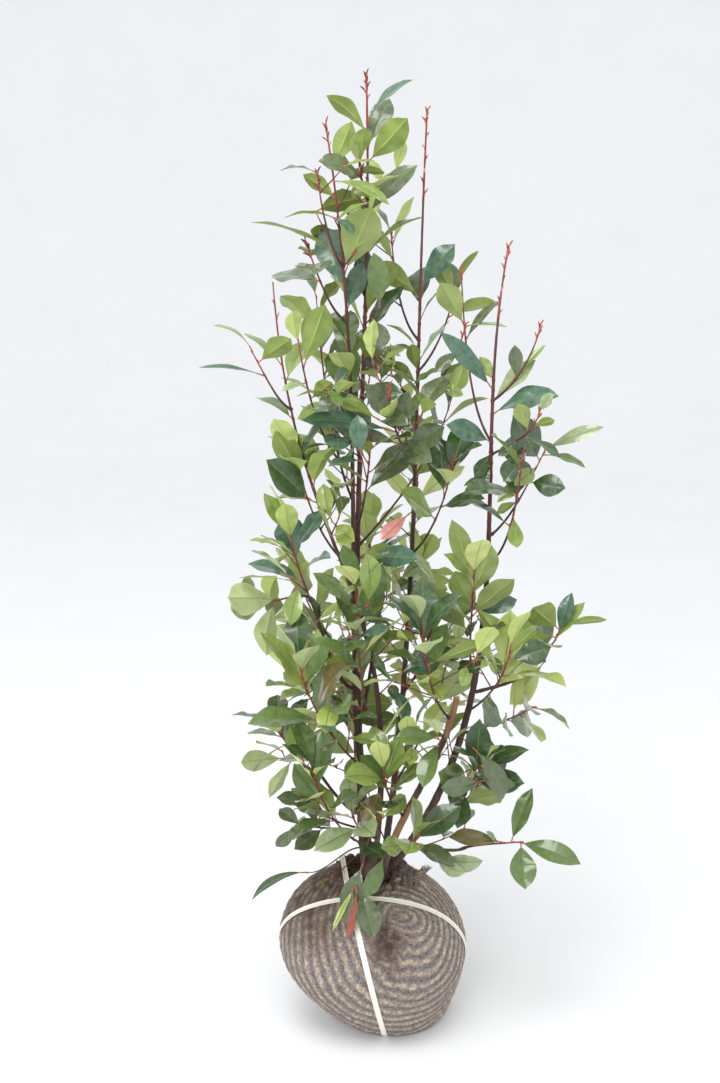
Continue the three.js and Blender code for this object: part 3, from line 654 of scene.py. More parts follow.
# %% The pile
class Pile:
    """Small meshes, in millimetres, that become one piece in metres."""

    def __init__(self, name, finishes):
        self.name, self.finishes = name, finishes
        self.points, self.faces, self.kinds = [], [], []
        self.count = 0

    def add(self, points, faces, kind=0):
        """kind is the number of a finish, or a list with one for each face."""
        self.points.append(np.asarray(points, float))
        self.faces += [[corner + self.count for corner in face] for face in faces]
        self.kinds += [kind] * len(faces) if isinstance(kind, int) else list(kind)
        self.count += len(points)

    def build(self, slot, *nodes, crease=None):
        mesh = bpy.data.meshes.new(self.name)
        mesh.from_pydata((np.concatenate(self.points) * MM).tolist(), [], self.faces)
        for made in self.finishes:
            mesh.materials.append(made)
        mesh.polygons.foreach_set("material_index", self.kinds)
        mesh.shade_smooth()
        if crease:
            mesh.set_sharp_from_angle(angle=math.radians(crease))
        piece = bpy.data.objects.new(self.name, mesh)
        bpy.context.scene.collection.objects.link(piece)
        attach(piece, "root")
        if nodes:
            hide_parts(*nodes)
        print(self.name, "has", sum(len(face) - 2 for face in self.faces), "triangles")
        return piece


def rings_of(points, radii, sides, relief=None):
    """Corners of a tube round a line of points; relief(place) adds millimetres to its radius."""
    points = np.asarray(points, float)
    ways = np.gradient(points, axis=0)
    across = np.array([1.0, 0, 0]) if abs(unit(ways[0])[0]) < 0.9 else np.array([0, 1.0, 0])
    angles = np.arange(sides) * 2 * math.pi / sides
    rings = []
    for k, (place, way) in enumerate(zip(points, ways)):
        way = unit(way)
        across = across_to(across, way)
        other = np.cross(way, across)
        spokes = np.outer(np.cos(angles), across) + np.outer(np.sin(angles), other)
        reach = np.full(sides, float(radii[k]))
        if relief:
            reach += [relief(place + spoke * radii[k]) for spoke in spokes]
        rings.append(place + spokes * reach[:, None])
    return np.array(rings)


def tube_faces(rows, sides, closed=False):
    """Faces of a tube: its walls, and its two ends if it is not closed into a loop."""
    spans = rows if closed else rows - 1
    faces = []
    for i in range(spans):
        low, high = i * sides, (i + 1) % rows * sides
        faces += [[low + k, low + (k + 1) % sides, high + (k + 1) % sides, high + k] for k in range(sides)]
    if not closed:
        faces += [list(range(sides))[::-1], [(rows - 1) * sides + k for k in range(sides)]]
    return faces


def add_tube(pile, points, radii, sides, kind=0, relief=None):
    rings = rings_of(points, radii, sides, relief)
    pile.add(rings.reshape(-1, 3), tube_faces(len(rings), sides), kind)


print("a three-sided thread has", len(tube_faces(4, 3)), "faces")

# %% [markdown]
# ## The wrapped ball
#
# The ball is soil held by a knitted cloth. The knit runs in rows, and where the cloth was drawn
# together on one side the rows lie round that gather like rings round a stone in water. A flat cloth
# could be draped over the ball by simulation, but the rows would not be sharp. Here the skin is one
# grid in height and angle. Each corner is moved out or in by the row it lies in, and it remembers
# that row as an attribute, so the colours fall exactly on the ridges.

# %% Ball outline and lumps
BALL_PROFILE = [
    (0, 86), (12, 98), (32, 113), (60, 130), (92, 145), (122, 153), (150, 153), (176, 146),
    (198, 134), (216, 117), (230, 97), (240, 76),
]
BALL_HEIGHT = BALL_PROFILE[-1][0]
BALL_LEAN, BALL_LEAN_EARLY = -40, 0.75
BALL_LUMPS = [(2, 0.022, 40), (3, 0.02, 200), (5, 0.012, 75)]
FOOT = np.array([-30, -3, BALL_HEIGHT + GAP])
# The cloth closes in from the ball's shoulder, stands up as a rim round the stems and turns in.
RIM_PROFILE = [
    (71, 242), (64, 244.5), (58, 249), (55, 255), (53.5, 260), (50.5, 262.5), (47.5, 259), (46, 251),
]
RIM_MIDDLE = np.array([-41.0, -2.0])
SKIN_SIDES = 420
SKIN_STEP = 2.35


def smooth_outline():
    """Radius and height along the cloth, from under the ball to inside the rim, at even steps."""
    shoulder = [(r, z) for z, r in BALL_PROFILE[1:-1]]
    corners = [(1, 0), (40, 0), (70, 0.1), (84, 1.5), *shoulder, (82, 238), *RIM_PROFILE]
    corners = np.array(corners, float)
    knots = np.concatenate([[0], np.cumsum(np.linalg.norm(np.diff(corners, axis=0), axis=1))])
    slopes = np.gradient(corners, knots, axis=0)
    places = np.linspace(0, knots[-1], round(knots[-1] / SKIN_STEP) + 1)
    span = np.clip(np.searchsorted(knots, places, side="right") - 1, 0, len(knots) - 2)
    width = knots[span + 1] - knots[span]
    s = ((places - knots[span]) / width)[:, None]
    width = width[:, None]
    bends = (2 * s**3 - 3 * s**2 + 1) * corners[span] + (s**3 - 2 * s**2 + s) * width * slopes[span]
    return bends + (3 * s**2 - 2 * s**3) * corners[span + 1] + (s**3 - s**2) * width * slopes[span + 1]


outline = smooth_outline()
print("the cloth has", len(outline), "rows of", SKIN_SIDES, "corners")

# %% The skin, its gather and its knit rows
HEART = np.array([15.0, -92.0, 223.0])  # the middle of all rows
PUCKER = np.array([-10.0, -129.0, 196.0])  # where the cloth was drawn in
PUCKER_DEEP, PUCKER_WIDE = 15, 20
HEART_FLAT, HEART_REACH = 0.34, 52  # how much wider than high the first rings are, and how far out
ROW_LEAST, ROW_MORE = 11.2, 5.5  # spacing of the rows: least above the heart, more below it
ROW_HIGH = 1.7
BALL_ROUND = 158  # radius of the curve along which the rows are counted
PLEATS = 11  # folds of the rim
# The cloth bunches up beside the stems: place, height and width of each bunch.
BUNCHES = [
    ((10, 14, 256), 12, 12), ((-6, 30, 258), 6, 10), ((26, -4, 246), 12, 10), ((44, -10, 238), 7, 10),
    ((-78, 30, 256), 6, 12), ((-90, -12, 250), 5, 9),
]


def smoothstep(low, high, value):
    share = np.clip((value - low) / (high - low), 0, 1)
    return share * share * (3 - 2 * share)


def skin_points(outline, sides):
    """The skin without its knit, as rows of points."""
    radius, height = outline[:, :1], outline[:, 1:]
    angle = (np.arange(sides) * 2 * math.pi / sides)[None, :]
    level = np.clip(height / BALL_HEIGHT, 0, 1)
    lumps = sum(depth * np.cos(waves * (angle - math.radians(crest))) for waves, depth, crest in BALL_LUMPS)
    reach = radius * (1 + lumps * np.sin(math.pi * level))
    rim = smoothstep(76, 56, radius) * (height > BALL_HEIGHT / 2)
    folds = np.cos(PLEATS * angle + 1.5 * np.sin(2 * angle)) + 0.5 * np.cos(2.3 * PLEATS * angle + 1)
    sag = np.sin(2 * angle + 1) + 0.6 * np.sin(3 * angle)
    reach = reach + rim * folds * 2.2
    dip = np.clip(-np.sin(angle), 0, 1)
    lift = rim * (1.6 * folds + 2.4 * sag - 6 * dip) * smoothstep(62, 54, radius)
    lean = BALL_LEAN * np.sin(math.pi / 2 * level**BALL_LEAN_EARLY)
    x = mixed(lean, RIM_MIDDLE[0], rim) + reach * np.cos(angle)
    y = mixed(0 * lean, RIM_MIDDLE[1], rim) + reach * np.sin(angle)
    return np.stack([x, y, height + lift + 0 * angle], axis=2)


def outward(points):
    """Directions out of the skin, from the grid's own neighbours."""
    round_way = np.roll(points, -1, axis=1) - np.roll(points, 1, axis=1)
    up_way = np.gradient(points, axis=0)
    normals = np.cross(round_way, up_way)
    return normals / np.maximum(np.linalg.norm(normals, axis=2, keepdims=True), 1e-9)


def knit_rows(points):
    """How many rows lie between each point and the heart, with a slow wander."""
    away = points - HEART
    apart = np.linalg.norm(away, axis=2)
    near = np.exp(-((apart / HEART_REACH) ** 2))
    flat = np.stack([away[..., 0] * (1 - HEART_FLAT * near), away[..., 1], away[..., 2]], axis=2)
    flat[..., 1:] *= (1 + 0.8 * HEART_FLAT * near)[..., None]
    apart = np.linalg.norm(flat, axis=2)
    over = 2 * BALL_ROUND * np.arcsin(np.clip(apart / (2 * BALL_ROUND), 0, 1))
    downward = 0.5 - 0.5 * away[..., 2] / np.maximum(apart, 1)
    wander = 3.2 * np.sin(points[..., 0] / 37 + points[..., 2] / 53) + 2.2 * np.sin(points[..., 2] / 23)
    wander += 1.8 * np.sin(points[..., 0] / 11 + 2) * np.sin(points[..., 2] / 13)
    return (over + wander) / (ROW_LEAST + ROW_MORE * downward**2)


skin = skin_points(outline, SKIN_SIDES)
normals = outward(skin)
from_pucker = skin - PUCKER
apart = np.linalg.norm(from_pucker / np.array([0.8, 1, 1.45]), axis=2)
spin = np.arctan2(from_pucker[..., 2], from_pucker[..., 0])
dent = PUCKER_DEEP * np.exp(-((apart / PUCKER_WIDE) ** 2)) + 4 * np.exp(-((apart / 44) ** 2))
dent -= 2.4 * np.sin(5 * spin + apart / 13) * np.exp(-((apart - 24) / 18) ** 2)
for place, high, wide in BUNCHES:
    near = np.linalg.norm(skin - np.array(place), axis=2)
    dent -= high * np.exp(-((near / wide) ** 2))
smooth_skin = skin - normals * dent[..., None]
rows = knit_rows(skin) + 0.7 * np.exp(-((apart / 34) ** 2)) * np.sin(3 * spin + apart / 5)
ridge = np.abs(np.cos(math.pi * rows)) ** 2.6


def cloudy(points, size, low, high):
    """Noise over a grid of points, stretched between two values."""
    waves = [noise.noise(Vector(place) / size) for place in points.reshape(-1, 3)]
    return mixed(low, high, np.clip(0.5 + np.array(waves).reshape(points.shape[:2]), 0, 1))


# Coarse yarn: thick and thin places along each rib, and lumps where the cloth bunches at the rim.
yarn = cloudy(skin, 9, 0.45, 1.3) * cloudy(skin, 2.4, 0.5, 1.3)
yarn *= 1 - 0.45 * np.exp(-((np.linalg.norm(skin - HEART, axis=2) / 24) ** 2))
crumpled = smoothstep(236, 250, skin[..., 2]) * cloudy(skin, 9, -3.5, 3.5)
smooth_skin = smooth_skin + normals * crumpled[..., None]
print("knit rows on the ball:", round(float(rows.max())))

# %% [markdown]
# ## The cloth's finish
#
# Brown and tan ribs stand on blue-grey ground. A wave texture would give straight bands. The attribute
# that each corner carries counts rows from the gather, so one cosine of it is the rib, and it bends
# wherever the knit bends. A third noise breaks the ribs into the short flecks of coarse yarn.

# %% Knitted cloth
RIB_DARK, RIB_TAN = (150, 134, 120), (202, 184, 162)
GROUND_DARK, GROUND_GREY = (86, 80, 84), (132, 124, 124)
EARTH = (74, 54, 43)

cloth = finish("knitted_cloth", RIB_DARK, RIB_TAN, 0.95, 210, contrast=0.1, bump=0.9, depth=1.1)
nodes, links = cloth.node_tree.nodes, cloth.node_tree.links
shader = nodes["Principled BSDF"]
ground = nodes.new("ShaderNodeGroup")
ground.node_tree = BLOTCHES
ground.inputs["Color"].default_value = srgb(*GROUND_DARK)
ground.inputs["Second"].default_value = srgb(*GROUND_GREY)
ground.inputs["Scale"].default_value = 330
ground.inputs["Contrast"].default_value = 0.1
row = nodes.new("ShaderNodeAttribute")
row.attribute_name = "rib"
soil_mark = nodes.new("ShaderNodeAttribute")
soil_mark.attribute_name = "earth"
rib_mix = nodes.new("ShaderNodeMix")
rib_mix.data_type = "RGBA"
earth_mix = nodes.new("ShaderNodeMix")
earth_mix.data_type = "RGBA"
earth_mix.inputs["B"].default_value = srgb(*EARTH)
links.new(row.outputs["Fac"], rib_mix.inputs["Factor"])
links.new(ground.outputs["Color"], rib_mix.inputs["A"])
links.new(nodes["pattern"].outputs["Color"], rib_mix.inputs["B"])
links.new(soil_mark.outputs["Fac"], earth_mix.inputs["Factor"])
links.new(rib_mix.outputs["Result"], earth_mix.inputs["A"])
links.new(earth_mix.outputs["Result"], shader.inputs["Base Color"])
print("cloth finish has", len(nodes), "nodes")

# %% [markdown]
# ## Two tapes
#
# Two ivory tapes are pulled tight round the ball, one round its waist and over the shoulder, one from
# top to bottom. A tape lies in a plane through the ball. Rays that come in along that plane find the
# skin, and the band is lofted through the hits. The cloth is pressed in a little beneath it.

# %% Tape paths
TAPE_WIDE, TAPE_THICK = 9.2, 1.1
TAPE_STEPS = 260
TAPE_SINKS = 14
TAPE_SECTION = [
    (-1, 0.15), (-0.92, 1), (-0.5, 1), (-0.46, 0.86), (0.46, 0.86), (0.5, 1), (0.92, 1), (1, 0.15),
    (0.9, -0.1), (-0.9, -0.1),
]
TAPES = {
    "tape_across": ([-30, -20, 138], [0.03, 0.9, 0.44]),
    "tape_over": ([-22, 0, 0], [0.971, 0.087, 0.223]),
}
grid_rows, grid_sides = smooth_skin.shape[:2]
quads = [
    [i * grid_sides + k, i * grid_sides + (k + 1) % grid_sides,
     (i + 1) * grid_sides + (k + 1) % grid_sides, (i + 1) * grid_sides + k]
    for i in range(grid_rows - 1) for k in range(grid_sides)
]
rim_row = int(np.argmax(outline[:, 1]))
skin_corners = [*smooth_skin.reshape(-1, 3).tolist(), [*RIM_MIDDLE, SOIL_TOP + 7]]
lid = [
    [rim_row * grid_sides + k, rim_row * grid_sides + (k + 1) % grid_sides, len(skin_corners) - 1]
    for k in range(grid_sides)
]
skin_tree = BVHTree.FromPolygons(skin_corners, quads + lid)


def tape_path(through, normal):
    """Points on the skin round the ball in one plane, evened out as tight tape would be."""
    pole = unit(np.array(normal, float))
    middle = np.array([BALL_LEAN * 0.7, 0, BALL_HEIGHT / 2])
    middle = middle + pole * np.dot(np.array(through) - middle, pole)
    level = across_to(UP, pole)
    aside = np.cross(pole, level)
    reach, spokes = [], []
    for k in range(TAPE_STEPS):
        angle = 2 * math.pi * k / TAPE_STEPS
        spoke = level * math.cos(angle) + aside * math.sin(angle)
        hit = skin_tree.ray_cast(Vector(middle + spoke * 400), Vector(-spoke))[0]
        spokes.append(spoke)
        reach.append(np.linalg.norm(np.array(hit) - middle))
    reach = np.array(reach)
    window = np.hanning(11) / np.hanning(11).sum()
    eased = np.convolve(np.concatenate([reach[-5:], reach, reach[:5]]), window, mode="valid")
    return middle + np.array(spokes) * np.maximum(eased, reach)[:, None]


paths = {name: tape_path(*plane) for name, plane in TAPES.items()}
for name, path in paths.items():
    print(name, "is", round(float(np.linalg.norm(np.diff(path, axis=0), axis=1).sum())), "mm round")

# %% Press the tapes into the cloth and raise the ribs
near_tape = np.full(skin.shape[:2], np.inf)
flat = smooth_skin.reshape(-1, 3)
for path in paths.values():
    tree = kdtree.KDTree(len(path))
    for k, place in enumerate(path):
        tree.insert(place, k)
    tree.balance()
    near_tape = np.minimum(near_tape, np.array([tree.find(p)[2] for p in flat]).reshape(near_tape.shape))
pressed = 1 - smoothstep(4, 12, near_tape)
inside_rim = smoothstep(rim_row - 3, rim_row + 2, np.arange(len(outline)))[:, None]
under = 1 - smoothstep(0, 5, smooth_skin[..., 2])
rib_out = ROW_HIGH * (ridge * np.clip(yarn, 0.4, 1.3) - 0.5)
rib_out = rib_out * (1 - 0.75 * pressed) * (1 - under) - 0.9 * pressed
wrap_points = smooth_skin + normals * rib_out[..., None]
wrap_points[..., 2] = np.maximum(wrap_points[..., 2], 0)
around = np.exp(-((apart / 37) ** 2))
left_top = smoothstep(-50, -140, skin[..., 0]) * smoothstep(140, 215, skin[..., 2])
near_rim = smoothstep(232, 252, skin[..., 2])
earthy = 0.95 * around + 0.75 * left_top + inside_rim + 0.5 * near_rim
earthy = np.clip(earthy * cloudy(skin, 15, 0.5, 1.4), 0, 0.95)

wrap = Pile("ball_wrap", [cloth])
base = len(wrap_points) * grid_sides
wrap.add(
    np.concatenate([wrap_points.reshape(-1, 3), [[0, 0, 0]]]),
    quads + [[base, (k + 1) % grid_sides, k] for k in range(grid_sides)],
)
ball_wrap = wrap.build("wrap", "root_ball", "wrap_collar")
shown = np.clip(ridge * yarn, 0, 1) * (1 - 0.5 * under)
for label, values in (("rib", shown), ("earth", earthy)):
    mark = ball_wrap.data.attributes.new(label, "FLOAT", "POINT")
    mark.data.foreach_set("value", np.append(values.ravel(), 0).astype(np.float32))

# %% The tapes themselves
tape_finish = finish("ivory_tape", (245, 242, 232), (232, 227, 213), 0.45, 420, bump=0.35, depth=0.25)


def tape_climb(path, other):
    """How far a tape stands out where it crosses the other one."""
    apart = np.linalg.norm(path[:, None] - other[None], axis=2).min(axis=1)
    return (1 - smoothstep(13, 34, apart)) * (TAPE_THICK + 0.25) * smoothstep(20, 60, path[:, 2])


def add_tape(pile, path, climb):
    along = np.roll(path, -1, axis=0) - np.roll(path, 1, axis=0)
    along /= np.linalg.norm(along, axis=1, keepdims=True)
    out = np.array([np.array(skin_tree.find_nearest(place)[1]) for place in path])
    out = np.where((out * (path - path.mean(axis=0))).sum(axis=1, keepdims=True) < 0, -out, out)
    out = sum(np.roll(out, k, axis=0) for k in range(-3, 4))
    out -= along * (out * along).sum(axis=1, keepdims=True)
    out /= np.linalg.norm(out, axis=1, keepdims=True)
    side = np.cross(along, out)
    sunk = (1 - smoothstep(1, TAPE_SINKS, path[:, 2]))[:, None] * (TAPE_THICK + 0.3)
    middle = path + out * (0.35 + climb[:, None] - sunk)
    middle[:, 2] = np.maximum(middle[:, 2], -TAPE_THICK / 2)
    half = TAPE_WIDE / 2
    rings = np.stack(
        [middle + side * across * half + out * rise * TAPE_THICK for across, rise in TAPE_SECTION], axis=1
    )
    pile.add(rings.reshape(-1, 3), tube_faces(len(rings), len(TAPE_SECTION), closed=True))


for name, path in paths.items():
    others = [other for label, other in paths.items() if label != name]
    climb = tape_climb(path, others[0]) if name == "tape_over" else np.zeros(len(path))
    tape = Pile(name, [tape_finish])
    add_tape(tape, path, climb)
    tape.build("strap", name.replace("tape", "strap"), crease=50)

# %% [markdown]
# ## Soil, roots and loose yarn
#
# Inside the rim the soil shows: dark crumbs, with thin feeding roots that creep over them and hang
# across the rim. The rim itself is a cut edge, so yarn ends stand out of it all round, and coarse yarn
# sheds short hairs everywhere. Hair particles would vanish on export, so each hair is a tiny tube.

# %% Soil
soil_finish = finish("dark_soil", (44, 33, 27), (78, 60, 46), 0.95, 320, bump=0.9, depth=1.2)
SOIL_WIDE = 47
CRUMBS = 420
SOIL_MIDDLE = np.array([*RIM_MIDDLE, SOIL_TOP])


def soil_surface():
    """Radius rings of a bumpy disc, a little higher towards the stems."""
    points = [[SOIL_MIDDLE[0], SOIL_MIDDLE[1], SOIL_TOP + 1]]
    sides, rings = 60, 16
    for i in range(1, rings + 1):
        for k in range(sides):
            angle = 2 * math.pi * k / sides
            reach = SOIL_WIDE * i / rings
            x, y = SOIL_MIDDLE[0] + reach * math.cos(angle), SOIL_MIDDLE[1] + reach * math.sin(angle)
            bump = 2.6 * noise.noise(Vector((x, y, 0)) / 7) + 1.3 * noise.noise(Vector((x, y, 9)) / 2.6)
            points.append([x, y, SOIL_TOP + bump + 1.5 - 3.5 * (i / rings) ** 2])
    faces = [[0, 1 + k, 1 + (k + 1) % sides] for k in range(sides)]
    for i in range(rings - 1):
        low, high = 1 + i * sides, 1 + (i + 1) * sides
        faces += [[low + k, high + k, high + (k + 1) % sides, low + (k + 1) % sides] for k in range(sides)]
    return points, faces


CRUMB = [[1, 0, 0], [0, 1, 0], [-1, 0, 0], [0, -1, 0], [0, 0, 1], [0, 0, -1]]
CRUMB_FACES = [[0, 1, 4], [1, 2, 4], [2, 3, 4], [3, 0, 4], [1, 0, 5], [2, 1, 5], [3, 2, 5], [0, 3, 5]]
soil = Pile("soil_crumbs", [soil_finish])
soil.add(*soil_surface())
dice = Dice(31)
for _ in range(CRUMBS):
    angle, reach = dice.roll(0, 2 * math.pi), SOIL_WIDE * math.sqrt(dice.roll(0.05, 0.98))
    place = SOIL_MIDDLE + np.array([reach * math.cos(angle), reach * math.sin(angle), 0])
    place[2] = SOIL_TOP + dice.roll(-1, 2.2)
    size = dice.roll(0.8, 2.6)
    jitter = [[dice.roll(0.6, 1.2) * axis for axis in corner] for corner in CRUMB]
    soil.add(place + np.array(jitter) * size, CRUMB_FACES)
soil.build("soil", "soil")

# %% Threads: roots, yarn ends and hairs
ROOTS, YARN_ENDS, HAIRS = 34, 230, 1500
root_finish = finish("fine_roots", (96, 66, 44), (128, 92, 62), 0.8, 300)
yarn_tan = finish("yarn_tan", (165, 142, 112), (120, 98, 76), 0.95, 260)
yarn_grey = finish("yarn_grey", (112, 108, 110), (76, 70, 72), 0.95, 260)
cloth_brown = finish("cloth_brown", (128, 110, 94), (88, 72, 62), 0.95, 200, bump=0.8, depth=0.9)


def wander(dice, start, way, length, steps, stray):
    """A crooked line that sets off one way and strays at each step."""
    points, way = [np.array(start, float)], np.array(way, float)
    for _ in range(steps):
        way = unit(way + np.array([dice.roll(-stray, stray) for _ in range(3)]))
        points.append(points[-1] + way * length / steps)
    return points


roots = Pile("feeding_roots", [root_finish])
dice = Dice(77)
for _ in range(ROOTS):
    angle = dice.roll(0, 2 * math.pi)
    spoke = np.array([math.cos(angle), math.sin(angle), 0])
    start = SOIL_MIDDLE + spoke * dice.roll(8, 34) + UP
    line = wander(dice, start, spoke + UP * dice.roll(0.0, 0.5), dice.roll(10, 30), 7, 0.55)
    line = [np.array([p[0], p[1], max(p[2], SOIL_TOP + 0.5)]) for p in line]
    add_tube(roots, line, np.linspace(dice.roll(0.5, 0.9), 0.25, 8), 5)
roots.build("soil")

loose = Pile("loose_yarn", [yarn_tan, yarn_grey, root_finish])
for _ in range(YARN_ENDS):
    k = int(dice.roll(0, grid_sides))
    start = wrap_points[rim_row + int(dice.roll(-3, 3)), k]
    spoke = unit(start - np.array([*RIM_MIDDLE, start[2]]))
    way = spoke * dice.roll(-0.3, 1.1) + UP * dice.roll(0.1, 0.8)
    line = wander(dice, start, way, dice.roll(4, 13), 5, 0.5)
    add_tube(loose, line, np.linspace(dice.roll(0.3, 0.6), 0.15, 6), 3, int(dice.roll(0, 2.99)))
for _ in range(HAIRS):
    i, k = int(dice.roll(12, rim_row)), int(dice.roll(0, grid_sides))
    out = normals[i, k]
    line = wander(dice, wrap_points[i, k] - out * 0.3, out, dice.roll(1.8, 4.5), 3, 0.8)
    line = [place * [1, 1, 0] + UP * max(place[2], 0.3) for place in line]
    add_tube(loose, line, [0.2, 0.17, 0.14, 0.08], 3, int(dice.roll(0, 1.99)))
loose.build("wrap")

# %% [markdown]
# ## The tied ends of the cloth
#
# Right of the stems the cloth was drawn up, folded, twisted and tied, and its ends fray. Each fold is a
# soft roll with a rough surface, and a few thick strands that wind round one another are the knot.

# %% Gathered folds beside the stems
FOLDS = [
    ((6, 8, 262), 5.5, 0), ((13, 0, 264), 6.5, 1), ((21, 2, 262), 6, 0), ((28, -6, 258), 6.5, 1),
    ((36, -4, 254), 5, 0), ((2, -14, 258), 5, 1), ((17, -16, 254), 5, 0),
]


def folded(place):
    """Creases and lumps of rolled cloth, as a tube's relief."""
    return 1.5 * noise.noise(Vector(place) / 5) + 0.8 * noise.noise(Vector(place) / 2)


gathers = Pile("gathered_folds", [cloth_brown, yarn_grey])
dice = Dice(12)
for (x, y, z), thick, kind in FOLDS:
    lean = dice.roll(-3, 5)
    line = [(x - 6, y + 9, z - 12), (x - 2, y + 4, z - 2), (x, y, z), (x + lean / 2, y - 7, z - 4),
            (x + lean, y - 15, z - 13), (x + lean + 2, y - 22, z - 26)]
    swell = thick * np.array([0.7, 0.9, 1, 1, 0.9, 0.6])
    smooth = np.array([np.interp(np.linspace(0, 5, 26), range(6), column) for column in np.array(line).T]).T
    radii = np.interp(np.linspace(0, 5, 26), range(6), swell)
    add_tube(gathers, smooth, radii, 20, kind, folded)
gathers.build("wrap", crease=70)

# %% Tied ends
KNOT = np.array([42, -16, 252])
STRANDS = 9
knot = Pile("tied_ends", [yarn_tan, yarn_grey])
dice = Dice(5)
for strand in range(STRANDS):
    lead = strand * 2 * math.pi / STRANDS
    line = []
    for step in range(15):
        s = step / 14
        swing = lead + 5.2 * s
        reach = 3.2 + 3.4 * math.sin(math.pi * s) + 9 * max(0, s - 0.7)
        place = np.array([math.cos(swing) * reach, math.sin(swing) * reach * 0.8, 0])
        line.append(KNOT + place + np.array([-14, 4, -12]) * (1 - s) + np.array([9, -2, 16]) * s)
    add_tube(knot, line, [2.6 - 1.3 * k / 14 for k in range(15)], 7, strand % 2)
    for _ in range(5):
        tail = wander(dice, line[-1], np.array([0.5, -0.2, 0.7]), dice.roll(4, 10), 4, 0.5)
        add_tube(knot, tail, [0.45, 0.4, 0.35, 0.3, 0.15], 3, strand % 2)
knot.build("wrap")

# %% [markdown]
# ## Bark
#
# Bark ages upwards: grey-brown and rough at the foot, maroon and smoother in the middle, red and shiny
# on this year's wood. One long colour ramp would look sprayed on. Real bark turns in patches, so each
# small face takes one of the finishes by its height, and noise shifts the border up and down.

# %% Bark finishes
BARKS = [
    finish("bark_grey_brown", (108, 88, 74), (72, 56, 47), 0.85, 60, STREAKS, 0.15, bump=0.6, depth=0.5),
    finish("bark_maroon", (88, 58, 50), (58, 42, 38), 0.7, 70, STREAKS, 0.15, bump=0.5, depth=0.4),
    finish("bark_red_brown", (108, 56, 50), (76, 44, 42), 0.5, 80, STREAKS, 0.2, bump=0.35, depth=0.3),
    finish("bark_red", (148, 60, 50), (112, 48, 46), 0.4, 90, STREAKS, 0.2, bump=0.2, depth=0.2),
]
bark_tan = finish("bark_tan", (158, 122, 90), (114, 84, 62), 0.85, 55, STREAKS, 0.16, bump=0.6, depth=0.5)
cut_wood = finish("cut_wood", (205, 176, 132), (172, 138, 98), 0.85, 210, bump=0.4)
BARK_TURNS = [430, 860, 1130]
BARK_DRIFT = 190
CUT_BROWN = (385, 500)  # between these heights the cut stem is brown, elsewhere tan


def bark_kind(place):
    """Which bark a place has, by its height with some drift."""
    height = place[2] + BARK_DRIFT * noise.noise(Vector((place[0] / 9, place[1] / 9, place[2] / 60)))
    return sum(height > turn for turn in BARK_TURNS)


def cut_bark_kind(place):
    """Which bark the cut stem has at a place."""
    height = place[2] + 60 * noise.noise(Vector((place[0] / 9, place[1] / 9, place[2] / 40)))
    return 0 if CUT_BROWN[0] < height < CUT_BROWN[1] else 4


def bark_relief(depth):
    """Ridges along the grain and broader lumps, as a tube's relief."""
    def relief(place):
        x, y, z = place
        ridges = noise.noise(Vector((x / 1.7, y / 1.7, z / 12)))
        return depth * ridges + 1.6 * depth * noise.noise(Vector((x / 7, y / 7, z / 19)))
    return relief


def stretch(limb, start, end, step):
    """Even places on a limb with their radii, and how far along it each is in millimetres."""
    whole = limb.length()
    shares = np.linspace(start, end, max(4, round(whole * abs(end - start) / step)) + 1)
    return np.array([limb.point(t) for t in shares]), limb.radius(shares), shares * whole


def swollen(radii, along, places, share, wide):
    """Radii raised by a share of themselves round the given places."""
    bumps = sum(np.exp(-(((along - place) / wide) ** 2)) for place in places)
    return radii * (1 + share * np.minimum(bumps, 1))


print(len(BARKS), "ages of bark")

# %% Trunk: six stem feet grown together
FORK = 56
FLARE_PROFILE = [(27, -3), (26, 2), (22.5, 7), (18, 17), (12, 29), (3, 34)]
trunk_rough = Pile("trunk_rough", [])
for stem in STEMS.values():
    share = 1 / stem.length()
    places, radii, _ = stretch(stem, -16 * share, (FORK + 3) * share, 3)
    add_tube(trunk_rough, places, radii, 18)
flare_places = [[FOOT[0], FOOT[1], SOIL_TOP + height] for _, height in FLARE_PROFILE]
add_tube(trunk_rough, flare_places, [radius for radius, _ in FLARE_PROFILE], 40)
for angle in (15, 80, 140, 205, 260, 325):
    spoke = np.array([math.cos(math.radians(angle)), math.sin(math.radians(angle)), 0])
    foot = FOOT + UP * (SOIL_TOP - FOOT[2])
    line = [foot + spoke * reach + UP * rise for reach, rise in ((8, 22), (16, 11), (23, 4), (29, -2.5))]
    add_tube(trunk_rough, line, [7, 6.2, 5, 3.2], 14)

rough_mesh = bpy.data.meshes.new("trunk_rough")
rough_mesh.from_pydata((np.concatenate(trunk_rough.points) * MM).tolist(), [], trunk_rough.faces)
rough = bpy.data.objects.new("trunk_rough", rough_mesh)
bpy.context.scene.collection.objects.link(rough)
remesh = rough.modifiers.new("grow_together", "REMESH")
remesh.mode = "VOXEL"
remesh.voxel_size = 1.25 * MM
soften = rough.modifiers.new("soften", "SMOOTH")
soften.iterations = 5
depsgraph = bpy.context.evaluated_depsgraph_get()
joined = bpy.data.meshes.new_from_object(rough.evaluated_get(depsgraph))
bpy.data.objects.remove(rough)

relief = bark_relief(0.55)
for vertex in joined.vertices:
    place = np.array(vertex.co) / MM
    low = place[2] < SOIL_TOP - 2.5
    vertex.co = Vector(place) * MM + vertex.normal * (0 if low else relief(place)) * MM
trunk_pile = Pile("trunk", BARKS)
corners_now = np.array([vertex.co for vertex in joined.vertices]) / MM
corners_now[:, 2] = np.maximum(corners_now[:, 2], SOIL_TOP - 3)
trunk_faces = [list(face.vertices) for face in joined.polygons]
trunk_pile.add(corners_now, trunk_faces, [min(1, bark_kind(corners_now[face[0]])) for face in trunk_faces])
trunk_pile.build("bark", "trunk")

# %% Stems and boughs
STEM_SIDES = 18


